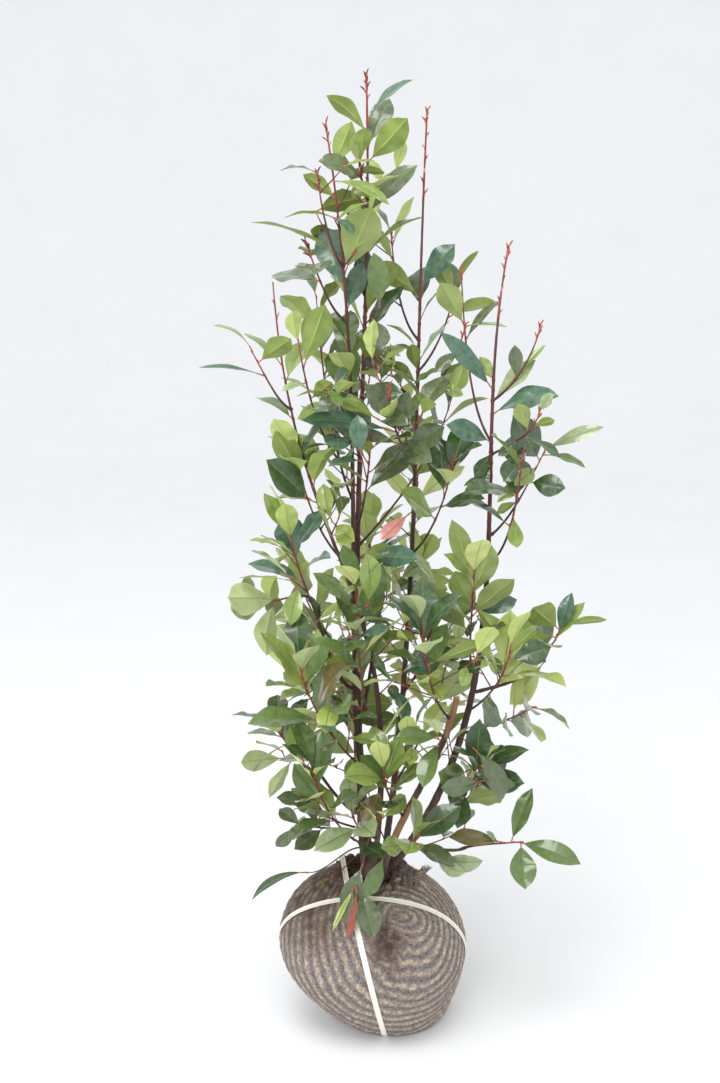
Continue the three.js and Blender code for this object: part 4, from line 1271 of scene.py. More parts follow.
def add_limb(pile, limb, start, end, sides, step, depth, scars=0, kind_at=bark_kind):
    """A limb with bark relief, swollen where leaves once stood."""
    places, radii, along = stretch(limb, start, end, step)
    if scars:
        radii = swollen(radii, along, np.arange(along[0] + scars / 2, along[-1], scars), 0.09, 2.4)
    rings = rings_of(places, radii, sides, bark_relief(depth))
    faces = tube_faces(len(rings), sides)
    flat = rings.reshape(-1, 3)
    pile.add(flat, faces, [kind_at(flat[face[0]]) for face in faces])


for name, stem in STEMS.items():
    end = next((row["at"] for row in SHOOTS if row["grows_from"] == name and "tip" not in row), 1)
    pile = Pile(f"{name}_stem", [*BARKS, bark_tan, cut_wood])
    pruned = name == "pruned"
    start = (FORK - 1) / stem.length()
    add_limb(pile, stem, start, end, STEM_SIDES, 3, 0.38, 27, cut_bark_kind if pruned else bark_kind)
    if pruned:
        top, way = stem.point(1), stem.tangent(1)
        add_tube(pile, [top - way * 2, top, top + way * 0.5], [4.3, 4.35, 4.1], 24, 5)
        add_tube(pile, [top, top + way * 0.62], [1.1, 0.9], 10, 4)
    pile.build("cut_bark" if pruned else "bark", f"stem_{name}", crease=50)

for name in BOUGHS:
    limb = limbs[name]
    pile = Pile(f"{name.split('_', 1)[1]}_bough", BARKS)
    add_limb(pile, limb, -3 / limb.length(), 1, 14, 3, 0.28, 21)
    pile.build("bark", name, crease=50)

# %% [markdown]
# ## Twigs, buds and red tips
#
# A twig is brown where it is a year old and red where it is new. It swells a little where each leaf
# stands, and in each leaf's axil sits a pointed bud. The newest leaves at a tip are still furled
# round each other, narrow and red: that red is what gives the shrub its name.

# %% Blade of a leaf, as rings that run from its stalk to its point
STALK_SHARE = 0.13
COLUMNS = np.array([-1, -0.6, -0.045, 0, 0.045, 0.6, 1])
BLADE_THICK = 0.5


def blade_outline(v, belly):
    """Half the width at shares of the blade, as a share of the widest; belly moves the widest place up."""
    return np.sin(np.pi * v**belly) ** 0.84 * (1 - 0.4 * smoothstep(0.86, 1, v))


def blade_rings(leaf, rows, wave, teeth, sway, belly):
    """Rings of twelve corners: seven across the upper side, five back along the underside."""
    odd = np.arange(rows + 1) % 2
    odd[-1] = 0
    rim = np.abs(COLUMNS) == 1
    v = np.linspace(0, 1, rows + 1)[:, None] + 0.42 / rows * odd[:, None] * rim
    half = leaf.width / 2 * blade_outline(v, belly) + mixed(0.8, 0.12, v)
    reach = half * COLUMNS * (1 + teeth * odd[:, None] * rim)
    share = STALK_SHARE + (1 - STALK_SHARE) * v
    place, face = leaf.spine(share.ravel())
    place, face = place.reshape(rows + 1, 7, 3), face.reshape(rows + 1, 7, 3)
    side = np.cross(leaf.along, leaf.face)
    out = np.abs(COLUMNS)
    lift = leaf.fold * half * out**1.15
    lift = lift + wave[0] * half * out**2 * np.sin(2 * np.pi * (wave[1] * v + wave[2]) + COLUMNS)
    lift = lift + 0.3 * np.cos(2 * np.pi * (9 * v - 1.3 * out)) * (out > 0.3) * (out < 1)
    bend = sway * leaf.length * v**2
    middle = place + side * (reach + bend)[..., None] + face * lift[..., None]
    thick = BLADE_THICK / 2 * np.clip(half / 2, 0.15, 1)[..., None]
    groove = np.where(COLUMNS == 0, 0.4, 1)[None, :, None]
    ridge_under = np.where(COLUMNS == 0, 2.8, 1)[None, :, None]
    top = middle + face * thick * groove * (~rim)[None, :, None]
    under = (middle - face * thick * ridge_under)[:, 5:0:-1]
    return np.concatenate([top, under], axis=1)


def blade_faces(rows):
    """Faces of a blade; both sides share their diagonals, so the thin body never folds through."""
    return [face[1:] + face[:1] if k % 12 > 5 else face for k, face in enumerate(tube_faces(rows + 1, 12))]


def blade_kinds(rows, top, under, rib_top, rib_under, stalk):
    """The finish of each face of a blade, its two end faces last; the midrib is red near the stalk."""
    kinds = []
    for row in range(rows):
        below = stalk if row < rows * 0.22 else rib_under
        kinds += [top, top, rib_top, rib_top, top, top, under, under, below, below, under, under]
    return kinds + [under, under]


widest = np.argmax(blade_outline(np.linspace(0, 1, 101), 1.25)) / 100
print("widest at share", round(float(widest), 2), "of the blade")

# %% [markdown]
# ## Leaves with a habit of their own
#
# A rule makes a plant that is right on the whole, but whoever knows one plant also knows single leaves:
# one that hangs straight down, one that has turned its underside to the front, one that was shed. They
# could be made as pieces of their own. Here such a leaf keeps its root on the shoot, and a row gives it
# a new tip, a direction for its upper side, and its colours.

# %% Turned and shed leaves
# Mass, which of its shoots, and which leaf; then its tip, where its upper side looks, width share,
# arch and colours. An empty row is a leaf that has been shed.
# Rows with the soft greens carry painted light in the leaf's colour.
TURNED = {
    ("leader_crown", 0): {
        8: ((-31, 20, 1360), (0, 1, 0.2), 0.4, 10, "mid", "bright"),
        9: ((26, -20, 1394), (-0.5, -0.8, 0.5), 0.34, 30, "grey", "pale"),
        10: ((-69, -15, 1343), (0, 1, 0.4), 0.5, 10, "deep", "olive"),
        11: ((14, -30, 1456), (0.3, 1, 0.3), 0.5, 20, "deep", "olive"),
        12: ((-13, 45, 1487), (-0.2, -1, 0.2), 0.4, 12, "grey", "pale"),
        13: ((-104, -5, 1490), (-0.2, 0.55, 0.8), 0.34, 55, "blue", "olive"),
        14: ((20, -10, 1512), (-0.7, -0.35, 0.6), 0.34, 45, "blue", "pale"),
    },
    ("leader_crown", 1): {
        0: ((-116, -60, 1397), (0.1, -0.7, 0.7), 0.5, 60, "grey", "dull"), 1: (),
        2: ((-62, -56, 1436), (0, 1, 0.2), 0.4, 14, "mid", "dull"),
        3: ((-50, -64, 1444), (0, 1, 0.25), 0.46, 15, "mid", "olive"),
    },
    ("left_crown", 0): {
        4: ((-55, 0, 1251), (0.3, -1, 0.2), 0.42, 15, "blue", "dull"),
        5: ((-109, -20, 1304), (-0.3, -1, 0.3), 0.46, 20, "blue", "dull"),
        6: ((-39, -75, 1334), (-0.1, 1, 0.1), 0.56, 25, "mid", "dull"),
        7: ((-213, -60, 1312), (0, 0.2, 1), 0.2, 40, "blue", "dull"),
        8: ((-165, -70, 1318), (0, 0.3, 1), 0.22, 50, "mid", "pale"),
        9: ((-138, -50, 1379), (0.2, 1, 0.5), 0.42, 30, "mid", "olive"),
        10: ((-67, -40, 1452), (0.2, 1, 0.2), 0.44, 24, "mid", "olive"),
    },
    ("left_crown", 1): {
        0: (), 1: (), 2: (), 3: ((-169, -90, 1384), (0, -0.15, 1), 0.34, 60, "blue", "olive"),
    },
    ("left_crown", 2): {3: ()},
    ("right_crown", 0): {
        1: ((-6, 60, 1093), (0, 1, 0.2), 0.38, 14, "mid", "olive"),
        2: ((21, 40, 1123), (0, 1, 0.2), 0.42, 14, "mid", "olive"),
        5: ((65, 40, 1204), (0, -0.3, 1), 0.22, 30, "mid", "olive"),
        7: ((-32, 40, 1249), (0, 1, 0.2), 0.45, 16, "mid", "olive"),
        8: ((88, 40, 1275), (-0.4, -1, 0.4), 0.44, 22, "blue", "dull"),
    },
    ("right_crown", 2): {
        2: ((65, 80, 1245), (0, 1, 0.2), 0.4, 20, "mid", "dull"),
        3: ((124, 70, 1264), (-0.2, 0.5, 1), 0.26, 30, "mid", "olive"),
    },
    ("right_crown", 3): {
        0: ((26, 30, 1063), (0, -0.2, 1), 0.34, 24, "mid", "olive"),
        1: ((57, 0, 1086), (0, -1, 0.4), 0.4, 15, "grey", "dull"), 2: (),
        3: ((168, 10, 1153), (0, -0.35, 1), 0.2, 30, "soft", "soft"),
    },
    ("far_right_crown", 0): {
        0: ((103, -30, 915), (0, -0.4, 1), 0.28, 30, "mid", "olive"),
        1: ((121, -40, 905), (-0.3, -1, 0.1), 0.4, 20, "deep", "dull"),
        2: ((118, -30, 929), (0.2, -1, 0), 0.5, 15, "deep", "dull"),
        3: ((73, -50, 1014), (-0.1, -1, 0.6), 0.42, 35, "blue", "dull"),
        4: ((239, -60, 1055), (0, -0.7, 1), 0.44, 55, "blue", "olive"),
        5: ((205, -30, 1111), (-0.6, -1, 0.5), 0.3, 15, "soft", "soft"),
        6: ((63, -40, 1152), (0.4, -1, 0.4), 0.26, 20, "blue", "dull"),
        7: ((124, -10, 1110), (0, 1, 0.2), 0.46, 12, "mid", "dull"),
    },
    ("far_right_crown", 1): {
        0: (), 1: ((88, 10, 1055), (0, 1, -0.1), 0.5, 12, "mid", "olive"),
        2: ((156, 20, 1191), (-0.4, -0.6, 1), 0.25, 35, "grey", "soft"),
        3: ((68, 20, 1220), (0, 1, 0.2), 0.5, 14, "mid", "dull"),
    },
    ("far_right_crown", 2): {
        0: ((176, -40, 1132), (0, -1, 0.2), 0.42, 15, "grey", "soft"),
        1: ((223, -30, 1130), (-0.3, -0.8, 1), 0.22, 30, "fresh", "bright"), 2: (),
    },
    ("far_right_crown", 3): {
        0: ((151, -60, 968), (0, -1, 0.3), 0.42, 20, "deep", "dull"),
        1: ((240, -90, 969), (0, -0.3, 1), 0.3, 40, "deep", "dull"),
        2: ((179, -80, 1051), (0, 1, 0.1), 0.52, 14, "mid", "dull"),
        3: ((231, -90, 1027), (0, 1, 0.5), 0.5, 20, "mid", "olive"), 4: (), 5: (),
        6: ((224, -100, 1069), (-0.2, -1, 0.4), 0.46, 20, "soft", "soft"),
    },
    ("far_left_crown", 0): {
        4: ((-179, -30, 1005), (0, 1, 0.2), 0.42, 20, "mid", "olive"), 6: (),
        8: ((-232, -10, 1145), (0, -0.3, 1), 0.3, 35, "soft", "pale"),
    },
    ("far_left_crown", 1): {
        0: ((-295, -70, 1104), (0, -0.35, 1), 0.16, 25, "blue", "olive"),
        1: ((-158, -60, 1144), (0, 1, 0.3), 0.42, 20, "mid", "olive"),
        2: ((-273, -50, 1162), (0, -0.3, 1), 0.26, 60, "soft", "olive"),
    },
    ("left_inner", 0): {
        1: ((-96, -80, 1081), (0, 1, 0.3), 0.6, 12, "mid", "olive"),
        2: ((-170, -90, 1070), (0, -0.4, 1), 0.4, 40, "soft", "pale"),
        3: ((-108, -80, 1196), (0, 1, 0.2), 0.46, 16, "mid", "olive"), 4: (),
    },
    ("front_red", 0): {4: ((-142, -110, 1032), (0.1, -0.7, 1), 0.26, 24, "blue", "dull")},
    ("right_upper", 0): {
        1: ((181, -80, 830), (0, 1, 0.3), 0.4, 20, "mid", "olive"), 4: (), 7: (),
        8: ((159, -70, 930), (0, -1, 0.1), 0.44, 20, "deep", "dull"), 9: (),
    },
    ("right_outer", 0): {
        0: ((157, 0, 865), (0, 1, 0.4), 0.4, 20, "mid", "olive"), 1: (),
        2: ((261, -10, 906), (0.1, -1, 0.25), 0.66, 20, "deep", "olive"),
        3: ((157, -20, 886), (0, -0.6, 1), 0.3, 24, "fresh", "bright"),
        4: ((180, -40, 917), (0.1, -1, 0.4), 0.34, 20, "fresh", "bright"),
        5: ((170, -50, 1025), (0.1, -1, 0.1), 0.4, 22, "deep", "dull"),
        6: ((292, -10, 941), (0, -0.4, 1), 0.27, 44, "mid", "olive"),
        7: ((319, 0, 1000), (-0.1, -0.9, 0.7), 0.26, 34, "soft", "yellow"),
    },
    ("right_middle", 0): {
        2: (), 3: ((294, -30, 731), (0, -0.5, 1), 0.34, 24, "fresh", "bright"),
        4: ((182, -50, 674), (0, 1, 0.4), 0.38, 20, "mid", "olive"),
        5: ((277, -30, 744), (-0.5, -1, 0.2), 0.4, 30, "blue", "olive"),
        6: ((208, -60, 728), (0, 1, 0.3), 0.62, 16, "mid", "olive"),
        7: ((329, -40, 705), (0, 1, 0.7), 0.3, 20, "mid", "olive"),
    },
    ("right_middle", 1): {1: (), 3: ()},
    ("right_front", 0): {
        5: ((117, -120, 652), (0, 0.6, 1), 0.3, 30, "soft", "pale"),
        6: ((234, -110, 681), (0, -1, 0.3), 0.5, 22, "deep", "dull"),
        7: ((209, -110, 714), (0, 1, 0.3), 0.5, 16, "mid", "olive"),
    },
    ("low_right_end", 0): {
        0: (), 1: ((145, -72, 362), (0, -0.5, 1), 0.34, 20, "soft", "bright"),
        2: ((86, -92, 356), (0, -0.6, 1), 0.36, 30, "brown", "dull"),
        3: ((222, -60, 428), (-0.6, -0.8, 0.2), 0.32, 30, "mid", "olive"),
        4: ((292, -110, 322), (0.1, -0.65, 0.8), 0.32, 40, "mid", "olive"),
        5: ((203, -112, 280), (0, -1, 0.5), 0.52, 20, "mid", "olive"),
    },
    ("pruned_shoot", 0): {2: ((151, -130, 699), (-0.1, 1, 0.5), 0.3, 12, "mid", "olive")},
    ("twin_shoot", 0): {
        0: ((172, -60, 613), (0, -0.3, 1), 0.3, 30, "mid", "olive"),
        1: ((41, -80, 767), (0, 1, 0.3), 0.46, 16, "mid", "dull"),
        3: ((177, -80, 783), (-0.2, 1, 0.3), 0.5, 16, "mid", "dull"),
        4: ((87, -80, 794), (0, 1, 0.2), 0.5, 14, "mid", "dull"),
        5: ((174, -90, 671), (0.3, 1, 0.1), 0.42, 16, "mid", "olive"),
        6: ((142, -80, 835), (0, 1, 0.2), 0.5, 14, "mid", "dull"),
        8: ((85, -70, 873), (0, 1, 0.4), 0.28, 24, "mid", "dull"),
    },
    ("middle_right", 0): {1: ((53, -40, 733), (0, 1, 0.2), 0.6, 14, "mid", "olive")},
    ("upper_left", 0): {
        0: ((-196, -80, 965), (0.2, -1, 0.6), 0.44, 28, "deep", "olive"),
        1: ((-179, -60, 1007), (0, 1, 0.2), 0.4, 16, "mid", "olive"),
    },
}


TURNED_FOLD = 0.15


def leaf_between(root, tip, facing, share, arch):
    """A leaf from its root to its tip that bows over and shows its upper side to one way."""
    chord = np.array(tip, float) - root
    half, way = math.radians(arch) / 2, unit(chord)
    along = way * math.cos(half) + across_to(np.array(facing, float), way) * math.sin(half)
    length = np.linalg.norm(chord) * half / math.sin(half)
    face = across_to(np.array(facing, float), along)
    return Leaf(np.array(root, float), along, face, length, length * share, 2 * half, TURNED_FOLD)


def turned(shoot, rows):
    """A shoot's leaves, those that have a row turned or shed."""
    kept = []
    for k, (leaf, t) in enumerate(shoot["leaves"]):
        if rows.get(k):
            tip, facing, wide, arch, *greens = rows[k]
            leaf = leaf_between(leaf.root, tip, facing, wide, arch)
            leaf.greens = greens
        if rows.get(k, True):
            kept.append((leaf, t))
    return kept


numbers = {}
for shoot in shoots:
    mass = shoot["row"]["mass"]
    numbers[mass] = numbers.get(mass, -1) + 1
    shoot["leaves"] = turned(shoot, TURNED.get((mass, numbers[mass]), {}))
print(sum(len(shoot["leaves"]) for shoot in shoots), "leaves after turning and shedding")

# %% [markdown]
# ## Finer twigs
#
# The solids keep only the main shoots. On the real shrub shorter twigs fill the middle, between the
# stems, and so the same rule goes one step further here: stems and shoots bear fine twigs, and these
# bear smaller leaves. A new leaf is kept only close to where the solids have leaves, so that the crown
# keeps its reach and its gaps, and only where it meets no other leaf or limb. Crossing leaves would
# look like paper stuck through paper.

# %% What stands already
class Standing:
    """Triangles of all that has grown so far, to test new growth against."""

    def __init__(self):
        self.points, self.faces, self.tree = [], [], None

    def add(self, points, faces):
        base = len(self.points)
        self.points += [tuple(place) for place in points]
        self.faces += [[corner + base for corner in face] for face in faces]

    def settle(self):
        self.tree = BVHTree.FromPolygons(self.points, self.faces)

    def meets(self, points, faces):
        probe = BVHTree.FromPolygons([tuple(place) for place in points], faces)
        return bool(self.tree.overlap(probe))


def leaf_card(leaf, spare=0.0):
    """A leaf as two triangles, wider by the spare room on each side."""
    (root, middle, tip), faces = leaf.spine([STALK_SHARE, 0.65, 1])
    side = np.cross(leaf.along, leaf.face) * (leaf.width / 2 + spare)
    raised = middle + faces[1] * leaf.width / 2 * leaf.fold
    return [root, raised + side, tip, raised - side], [[0, 1, 2], [0, 2, 3]]


def limb_cage(limb, start, end):
    """A limb as a three-sided tube of few faces."""
    places, radii, _ = stretch(limb, start, end, 25)
    return rings_of(places, radii, 3).reshape(-1, 3), tube_faces(len(places), 3)


standing = Standing()
reach_points = []
for shoot in shoots:
    standing.add(*limb_cage(shoot["limb"], shoot["start"], 1))
    for leaf, _ in shoot["leaves"]:
        standing.add(*leaf_card(leaf))
        reach_points += list(leaf.spine([0.3, 0.55, 0.8, 1])[0])
for name in (*STEMS, *BOUGHS):
    standing.add(*limb_cage(limbs[name], 0, 1))
standing.settle()
reach_tree = kdtree.KDTree(len(reach_points))
for k, place in enumerate(reach_points):
    reach_tree.insert(place, k)
reach_tree.balance()
print("triangles that stand:", len(standing.faces))

# %% Odd leaves
# Limb and share of it, the leaf's root, its tip, where its upper side looks, width share, arch, colours.
ODD_LEAVES = [
    ("right", 0.5, (20, -20, 869), (-22, -60, 836), (-0.4, -1, 0.5), 0.42, 24, "pink", "pink"),
    ("foot_front", 0.97, (-61, -92, 274), (-74, -148, 211), (0.5, -1, 0.2), 0.17, 16, "rust", "rust"),
    ("foot_front", 0.93, (-64, -88, 272), (-102, -124, 214), (-0.2, -1, 0.6), 0.11, 30, "yellow", "bright"),
    ("foot_front", 0.9, (-56, -84, 268), (-36, -136, 208), (0.3, -1, 0.5), 0.56, 22, "grey", "dull"),
    ("far_left", 0.06, (-16, -60, 316), (-50, -96, 258), (0.5, -1, 0.4), 0.46, 24, "mid", "olive"),
    ("foot_front", 0.92, (-66, -84, 276), (-76, -128, 220), (-0.6, -1, 0.4), 0.34, 20, "grey", "grey"),
    ("left", 0.04, (-140, -50, 278), (-232, -62, 236), (0.1, -0.22, 1), 0.17, 74, "deep", "olive"),
    ("left", 0.03, (-100, -44, 268), (-128, -62, 262), (0.1, -0.8, 1), 0.2, 30, "brown", "rust"),
    ("far_right", 0.25, (118, -112, 520), (168, -128, 444), (0.35, -1, 0.75), 0.36, 66, "grey", "brown"),
    ("far_right", 0.17, (118, -60, 455), (84, -96, 418), (0, -1, 0.8), 0.46, 30, "deep", "dull"),
    ("leader", 0.06, (-66, -40, 330), (-18, -92, 322), (0.1, -0.7, 1), 0.5, 34, "deep", "dull"),
]


odd = []
for name, share, root, tip, facing, wide, arch, top, under in ODD_LEAVES:
    parent, leaf = limbs[name], leaf_between(root, tip, facing, wide, arch)
    foot = parent.point(share)
    span = np.linalg.norm(leaf.root - foot)
    away = across_to(leaf.root - foot, parent.tangent(share))
    bends = [foot + away * span / 3 + UP * span * 0.12, leaf.root - leaf.along * span / 3]
    limb = Limb([foot, *bends, leaf.root], (1.4, 0.75))
    odd.append({"limb": limb, "leaf": leaf, "top": top, "under": under})
    standing.add(*leaf_card(leaf))
standing.settle()
print(len(odd), "odd leaves")

# %% Grow the finer twigs
FINE_SPACING = {"stem": 17, "shoot": 32}
FINE_REACH = (30, 96)
FINE_THICK = (1.25, 0.6)
FINE_SIZE = (42, 96)
FINE_PLACES = (0.42, 0.6, 0.76, 0.9, 1.0)
FINE_TRIES = (0, LEAF_SPIRAL, 2 * LEAF_SPIRAL)
FINE_SPAN = {"shoot": (0.22, 0.92), "stem": (0.06, 0.64), "bough": (0.15, 0.95), "pruned": (0.3, 0.85)}
FLAT_SHARE = 0.62  # how many fine leaves lie flat
LEAF_SPARE = 1.5  # room that two fine leaves keep
# Where the shrub is thick: x and z of each middle, then half its width and height.
THICKETS = [
    (-25, 1405, 42, 62), (-45, 1285, 75, 40), (-35, 1110, 50, 45), (-90, 1045, 35, 35), (32, 1040, 38, 38),
    (-92, 940, 40, 60), (165, 735, 50, 50), (95, 665, 50, 45), (30, 590, 55, 55), (-145, 525, 42, 40),
    (97, 520, 45, 45), (5, 455, 70, 70), (108, 322, 34, 28), (-40, 700, 75, 60), (-95, 600, 50, 60),
    (-20, 790, 45, 40), (-205, 800, 50, 45),
]
ROOM_THICK, ROOM_EDGE = 80, 17
BOX_SPARE = 8
CUT_CLEAR = 15
cut_line = [STEMS["pruned"].point(t) for t in np.linspace(0.3, 1, 12)]
BOX_LOW, BOX_HIGH = np.array(cad_low) / MM + BOX_SPARE, np.array(cad_high) / MM - BOX_SPARE


def room_at(place):
    """How far from the solids' leaves a new one may stand: more where the shrub is thick."""
    inside = [
        math.exp(-(((place[0] - x) / wide) ** 2) - ((place[2] - z) / high) ** 2)
        for x, z, wide, high in THICKETS
    ]
    return mixed(ROOM_EDGE, ROOM_THICK, max(inside))


def within_reach(leaf):
    """Whether a new leaf keeps to the solids' box, close to their leaves and off the cut stem's front."""
    places = leaf.spine([0.6, 1])[0]
    boxed = np.all(places > BOX_LOW) and np.all(places < BOX_HIGH)
    hides = any(
        np.hypot(*(place - line)[[0, 2]]) < CUT_CLEAR and place[1] < line[1]
        for place in leaf.spine([0.2, 0.4, 0.6, 0.8, 1])[0] for line in cut_line
    )
    return bool(boxed) and not hides and all(reach_tree.find(place)[2] < room_at(place) for place in places)


def fine_limb(parent, t, heading, dice):
    """A short twig that leaves its parent to a heading and rises a little, or hangs."""
    foot, along = parent.point(t), parent.tangent(t)
    out = spoke_at(heading, along)
    way, _ = leaning(along, out, math.radians(dice.roll(42, 68)))
    reach = dice.roll(*FINE_REACH)
    root = foot + out * parent.radius(t) * 0.7
    goal = root + way * reach + UP * reach * dice.roll(-0.1, 0.25)
    end_way = unit(way + UP * dice.roll(-0.1, 0.6))
    return Limb([root, root + way * reach / 3, goal - end_way * reach / 3, goal], FINE_THICK)


def fine_leaf(limb, t, heading, dice):
    """A leaf that either clasps its twig or lies flat with its upper side to the sky."""
    along = limb.tangent(t)
    pitch = math.radians(dice.roll(14, 40) if t == 1 else dice.roll(38, 74))
    way, face = leaning(along, spoke_at(heading, along), pitch)
    if dice.roll(0, 1) < FLAT_SHARE:
        face = across_to(UP + along * 0.3, way)
    face = twisted(face, way, dice.roll(-30, 30))
    length = dice.roll(*FINE_SIZE)
    arch, fold = math.radians(dice.roll(6, 38)), dice.roll(0.08, 0.26)
    return Leaf(limb.point(t) - way * 0.5, way, face, length, length * LEAF_WIDTH, arch, fold)


def leafed(limb, heading, dice):
    """The leaves that find room on a fine twig."""
    leaves = []
    for step, share in enumerate(FINE_PLACES):
        leaf = fine_leaf(limb, share, heading + LEAF_SPIRAL * step, dice)
        card = leaf_card(leaf, LEAF_SPARE)
        clear = within_reach(leaf) and not standing.meets(*card)
        if clear and not any(cards_meet(card, leaf_card(other, LEAF_SPARE)) for other, _ in leaves):
            leaves.append((leaf, share))
    return leaves


def cards_meet(*cards):
    """Whether two leaves of a twig would cross, apart from their stalks."""
    one, other = [
        BVHTree.FromPolygons([tuple(place) for place in points], faces) for points, faces in cards
    ]
    return bool(one.overlap(other))


def grow_fine(parent, start, end, spacing, order):
    """Fine twigs along a limb, each with the leaves that find room."""
    dice = Dice(97 * (order + 11))
    count = max(1, int(parent.length() * (end - start) / spacing))
    grown = []
    for k in range(count):
        t = mixed(start, end, (k + dice.roll(0.2, 0.8)) / count)
        heading = LEAF_SPIRAL * k + dice.roll(0, 40) + 71 * order
        for turn in FINE_TRIES:
            limb = fine_limb(parent, t, heading + turn, dice)
            points, faces = limb_cage(limb, 0.12, 1)
            leaves = [] if standing.meets(points, faces) else leafed(limb, heading + turn, dice)
            if len(leaves) > 1:
                standing.add(points, faces)
                for leaf, _ in leaves:
                    standing.add(*leaf_card(leaf))
                standing.settle()
                last = leaves[-1][1]
                grown.append({"limb": limb, "end": last, "leaves": leaves, "order": order * 40 + k})
                break
    return grown


fine = []
for shoot in shoots:
    start, end = FINE_SPAN["shoot"]
    if "tip" not in shoot["row"]:
        start, end = shoot["start"] + 0.02, mixed(shoot["start"], 1, shoot["row"].get("top", 1) * 0.9)
    fine += grow_fine(shoot["limb"], start, end, FINE_SPACING["shoot"], shoot["order"])
for order, (name, limb) in enumerate([*STEMS.items(), *[(bough, limbs[bough]) for bough in BOUGHS]]):
    start, end = FINE_SPAN.get(name, FINE_SPAN["stem" if name in STEMS else "bough"])
    fine += grow_fine(limb, start, end, FINE_SPACING["stem"], 60 + order)
print(len(fine), "fine twigs with", sum(len(twig["leaves"]) for twig in fine), "leaves")

# %% Twigs
TWIG_OLD, TWIG_NEW = 0.35, 0.72
RED_FROM = 0.9


def twig_kind(shoot, t, place):
    """Old, middling or new wood at a share of the shoot."""
    if "tip" not in shoot["row"]:
        return 3 if t > RED_FROM else min(2, bark_kind(place))
    drift = 0.16 * noise.noise(Vector(place) / 14)
    return 1 + (t + drift > TWIG_OLD) + (t + drift > TWIG_NEW)


twigs = Pile("twigs", BARKS)
for shoot in shoots:
    limb, start = shoot["limb"], shoot["start"]
    whole = limb.length()
    side_limb_foot = "tip" in shoot["row"]
    places, radii, along = stretch(limb, start - (3 / whole if side_limb_foot else 0.5 / whole), 1, 4)
    nodes_at = [t * whole for _, t in shoot["leaves"]]
    radii = swollen(radii, along, nodes_at, 0.3, 2.2)
    if side_limb_foot:
        radii = swollen(radii, along, [start * whole], 0.5, 5)
    sides = 9 if side_limb_foot else 14
    rings = rings_of(places, radii, sides, bark_relief(0.12 if side_limb_foot else 0.2))
    faces = tube_faces(len(rings), sides)
    flat = rings.reshape(-1, 3)
    steps = np.minimum(np.arange(len(faces)) // sides, len(places) - 1)
    kinds = [twig_kind(shoot, along[step] / whole, flat[face[0]]) for step, face in zip(steps, faces)]
    twigs.add(flat, faces, kinds)
for twig in fine:
    limb = twig["limb"]
    whole = limb.length()
    places, radii, along = stretch(limb, -0.02, twig["end"], 4)
    radii = swollen(radii, along, [t * whole for _, t in twig["leaves"]], 0.35, 1.8)
    radii = swollen(radii, along, [0], 0.6, 3)
    rings = rings_of(places, radii, 7)
    faces = tube_faces(len(rings), 7)
    steps = np.minimum(np.arange(len(faces)) // 7, len(places) - 1)
    twigs.add(rings.reshape(-1, 3), faces, [2 if along[step] < 0.55 * whole else 3 for step in steps])
for row in odd:
    places, radii, _ = stretch(row["limb"], 0, 1, 4)
    add_tube(twigs, places, radii, 7, 2)
twigs.build("bark", crease=60)

# %% [markdown]
# ## Leaves
#
# The leaf of this shrub is leathery, a hand's breadth long, glossy and dark above, matt and paler
# below, with a pale midrib and a fine saw edge. A flat card with a picture of a leaf would be cheap and
# would fail from the side. Here each leaf is a thin closed body: its rim is toothed, its two halves
# fold up along the midrib, the side veins quilt it, and the margin waves.

# %% Leaf finishes
TOPS = {
    "deep": ((44, 66, 38), (74, 100, 56)), "blue": ((52, 84, 66), (88, 118, 96)),
    "mid": ((80, 104, 54), (106, 128, 70)), "fresh": ((120, 142, 70), (142, 160, 84)),
    "yellow": ((148, 164, 82), (166, 180, 98)), "grey": ((68, 88, 62), (104, 112, 76)),
    "brown": ((92, 96, 56), (132, 108, 68)), "red": ((176, 74, 66), (156, 88, 64)),
    "wine": ((128, 48, 46), (104, 44, 44)), "pink": ((236, 166, 164), (226, 146, 146)),
    # soft is a pale grey-green top, partly the leaf's own colour and partly painted light: the paleness that
    # bright light and sheen give a top.
    "rust": ((158, 88, 70), (140, 66, 48)), "soft": ((130, 148, 104), (156, 168, 124)),
}
UNDERS = {
    "pale": ((156, 174, 94), (172, 190, 108)), "bright": ((178, 195, 110), (194, 209, 128)),
    "yellow": ((196, 206, 128), (210, 218, 146)), "dull": ((132, 148, 86), (150, 164, 100)),
    "olive": ((116, 134, 62), (136, 154, 76)), "grey": ((138, 148, 112), (156, 164, 126)),
    "red": ((196, 108, 92), (178, 96, 78)), "wine": ((138, 60, 54), (112, 52, 48)),
    "pink": ((240, 178, 174), (230, 158, 156)), "brown": ((126, 116, 86), (110, 100, 70)),
    # soft is a pale underside green, partly the leaf's own colour and partly painted light: the paleness of
    # brightly lit leaves.
    "rust": ((168, 104, 84), (150, 80, 60)), "soft": ((174, 188, 132), (194, 206, 154)),
}
leaf_tops = [
    finish(
        f"leaf_top_{name}", *pair, 0.26, 110, contrast=0.22, bump=0.35, depth=0.3,
        Coat_Weight=0.5, Coat_Roughness=0.08,
    )
    for name, pair in TOPS.items()
]
leaf_unders = [
    finish(f"leaf_under_{name}", *pair, 0.5, 60, contrast=0.25, bump=0.25) for name, pair in UNDERS.items()
]
rib_pale = finish("midrib_pale", (172, 186, 104), (156, 172, 90), 0.5, 60)
rib_top = finish("midrib_green", (104, 126, 72), (88, 110, 62), 0.4, 60)
stalk_red = finish("leaf_stalk", (172, 88, 70), (150, 100, 66), 0.45, 70)
bud_red = finish("bud_red", (168, 50, 44), (128, 44, 42), 0.4, 120)
LEAF_FINISHES = [*leaf_tops, *leaf_unders, rib_pale, rib_top, stalk_red, bud_red]
KIND = {f"top_{name}": k for k, name in enumerate(TOPS)}
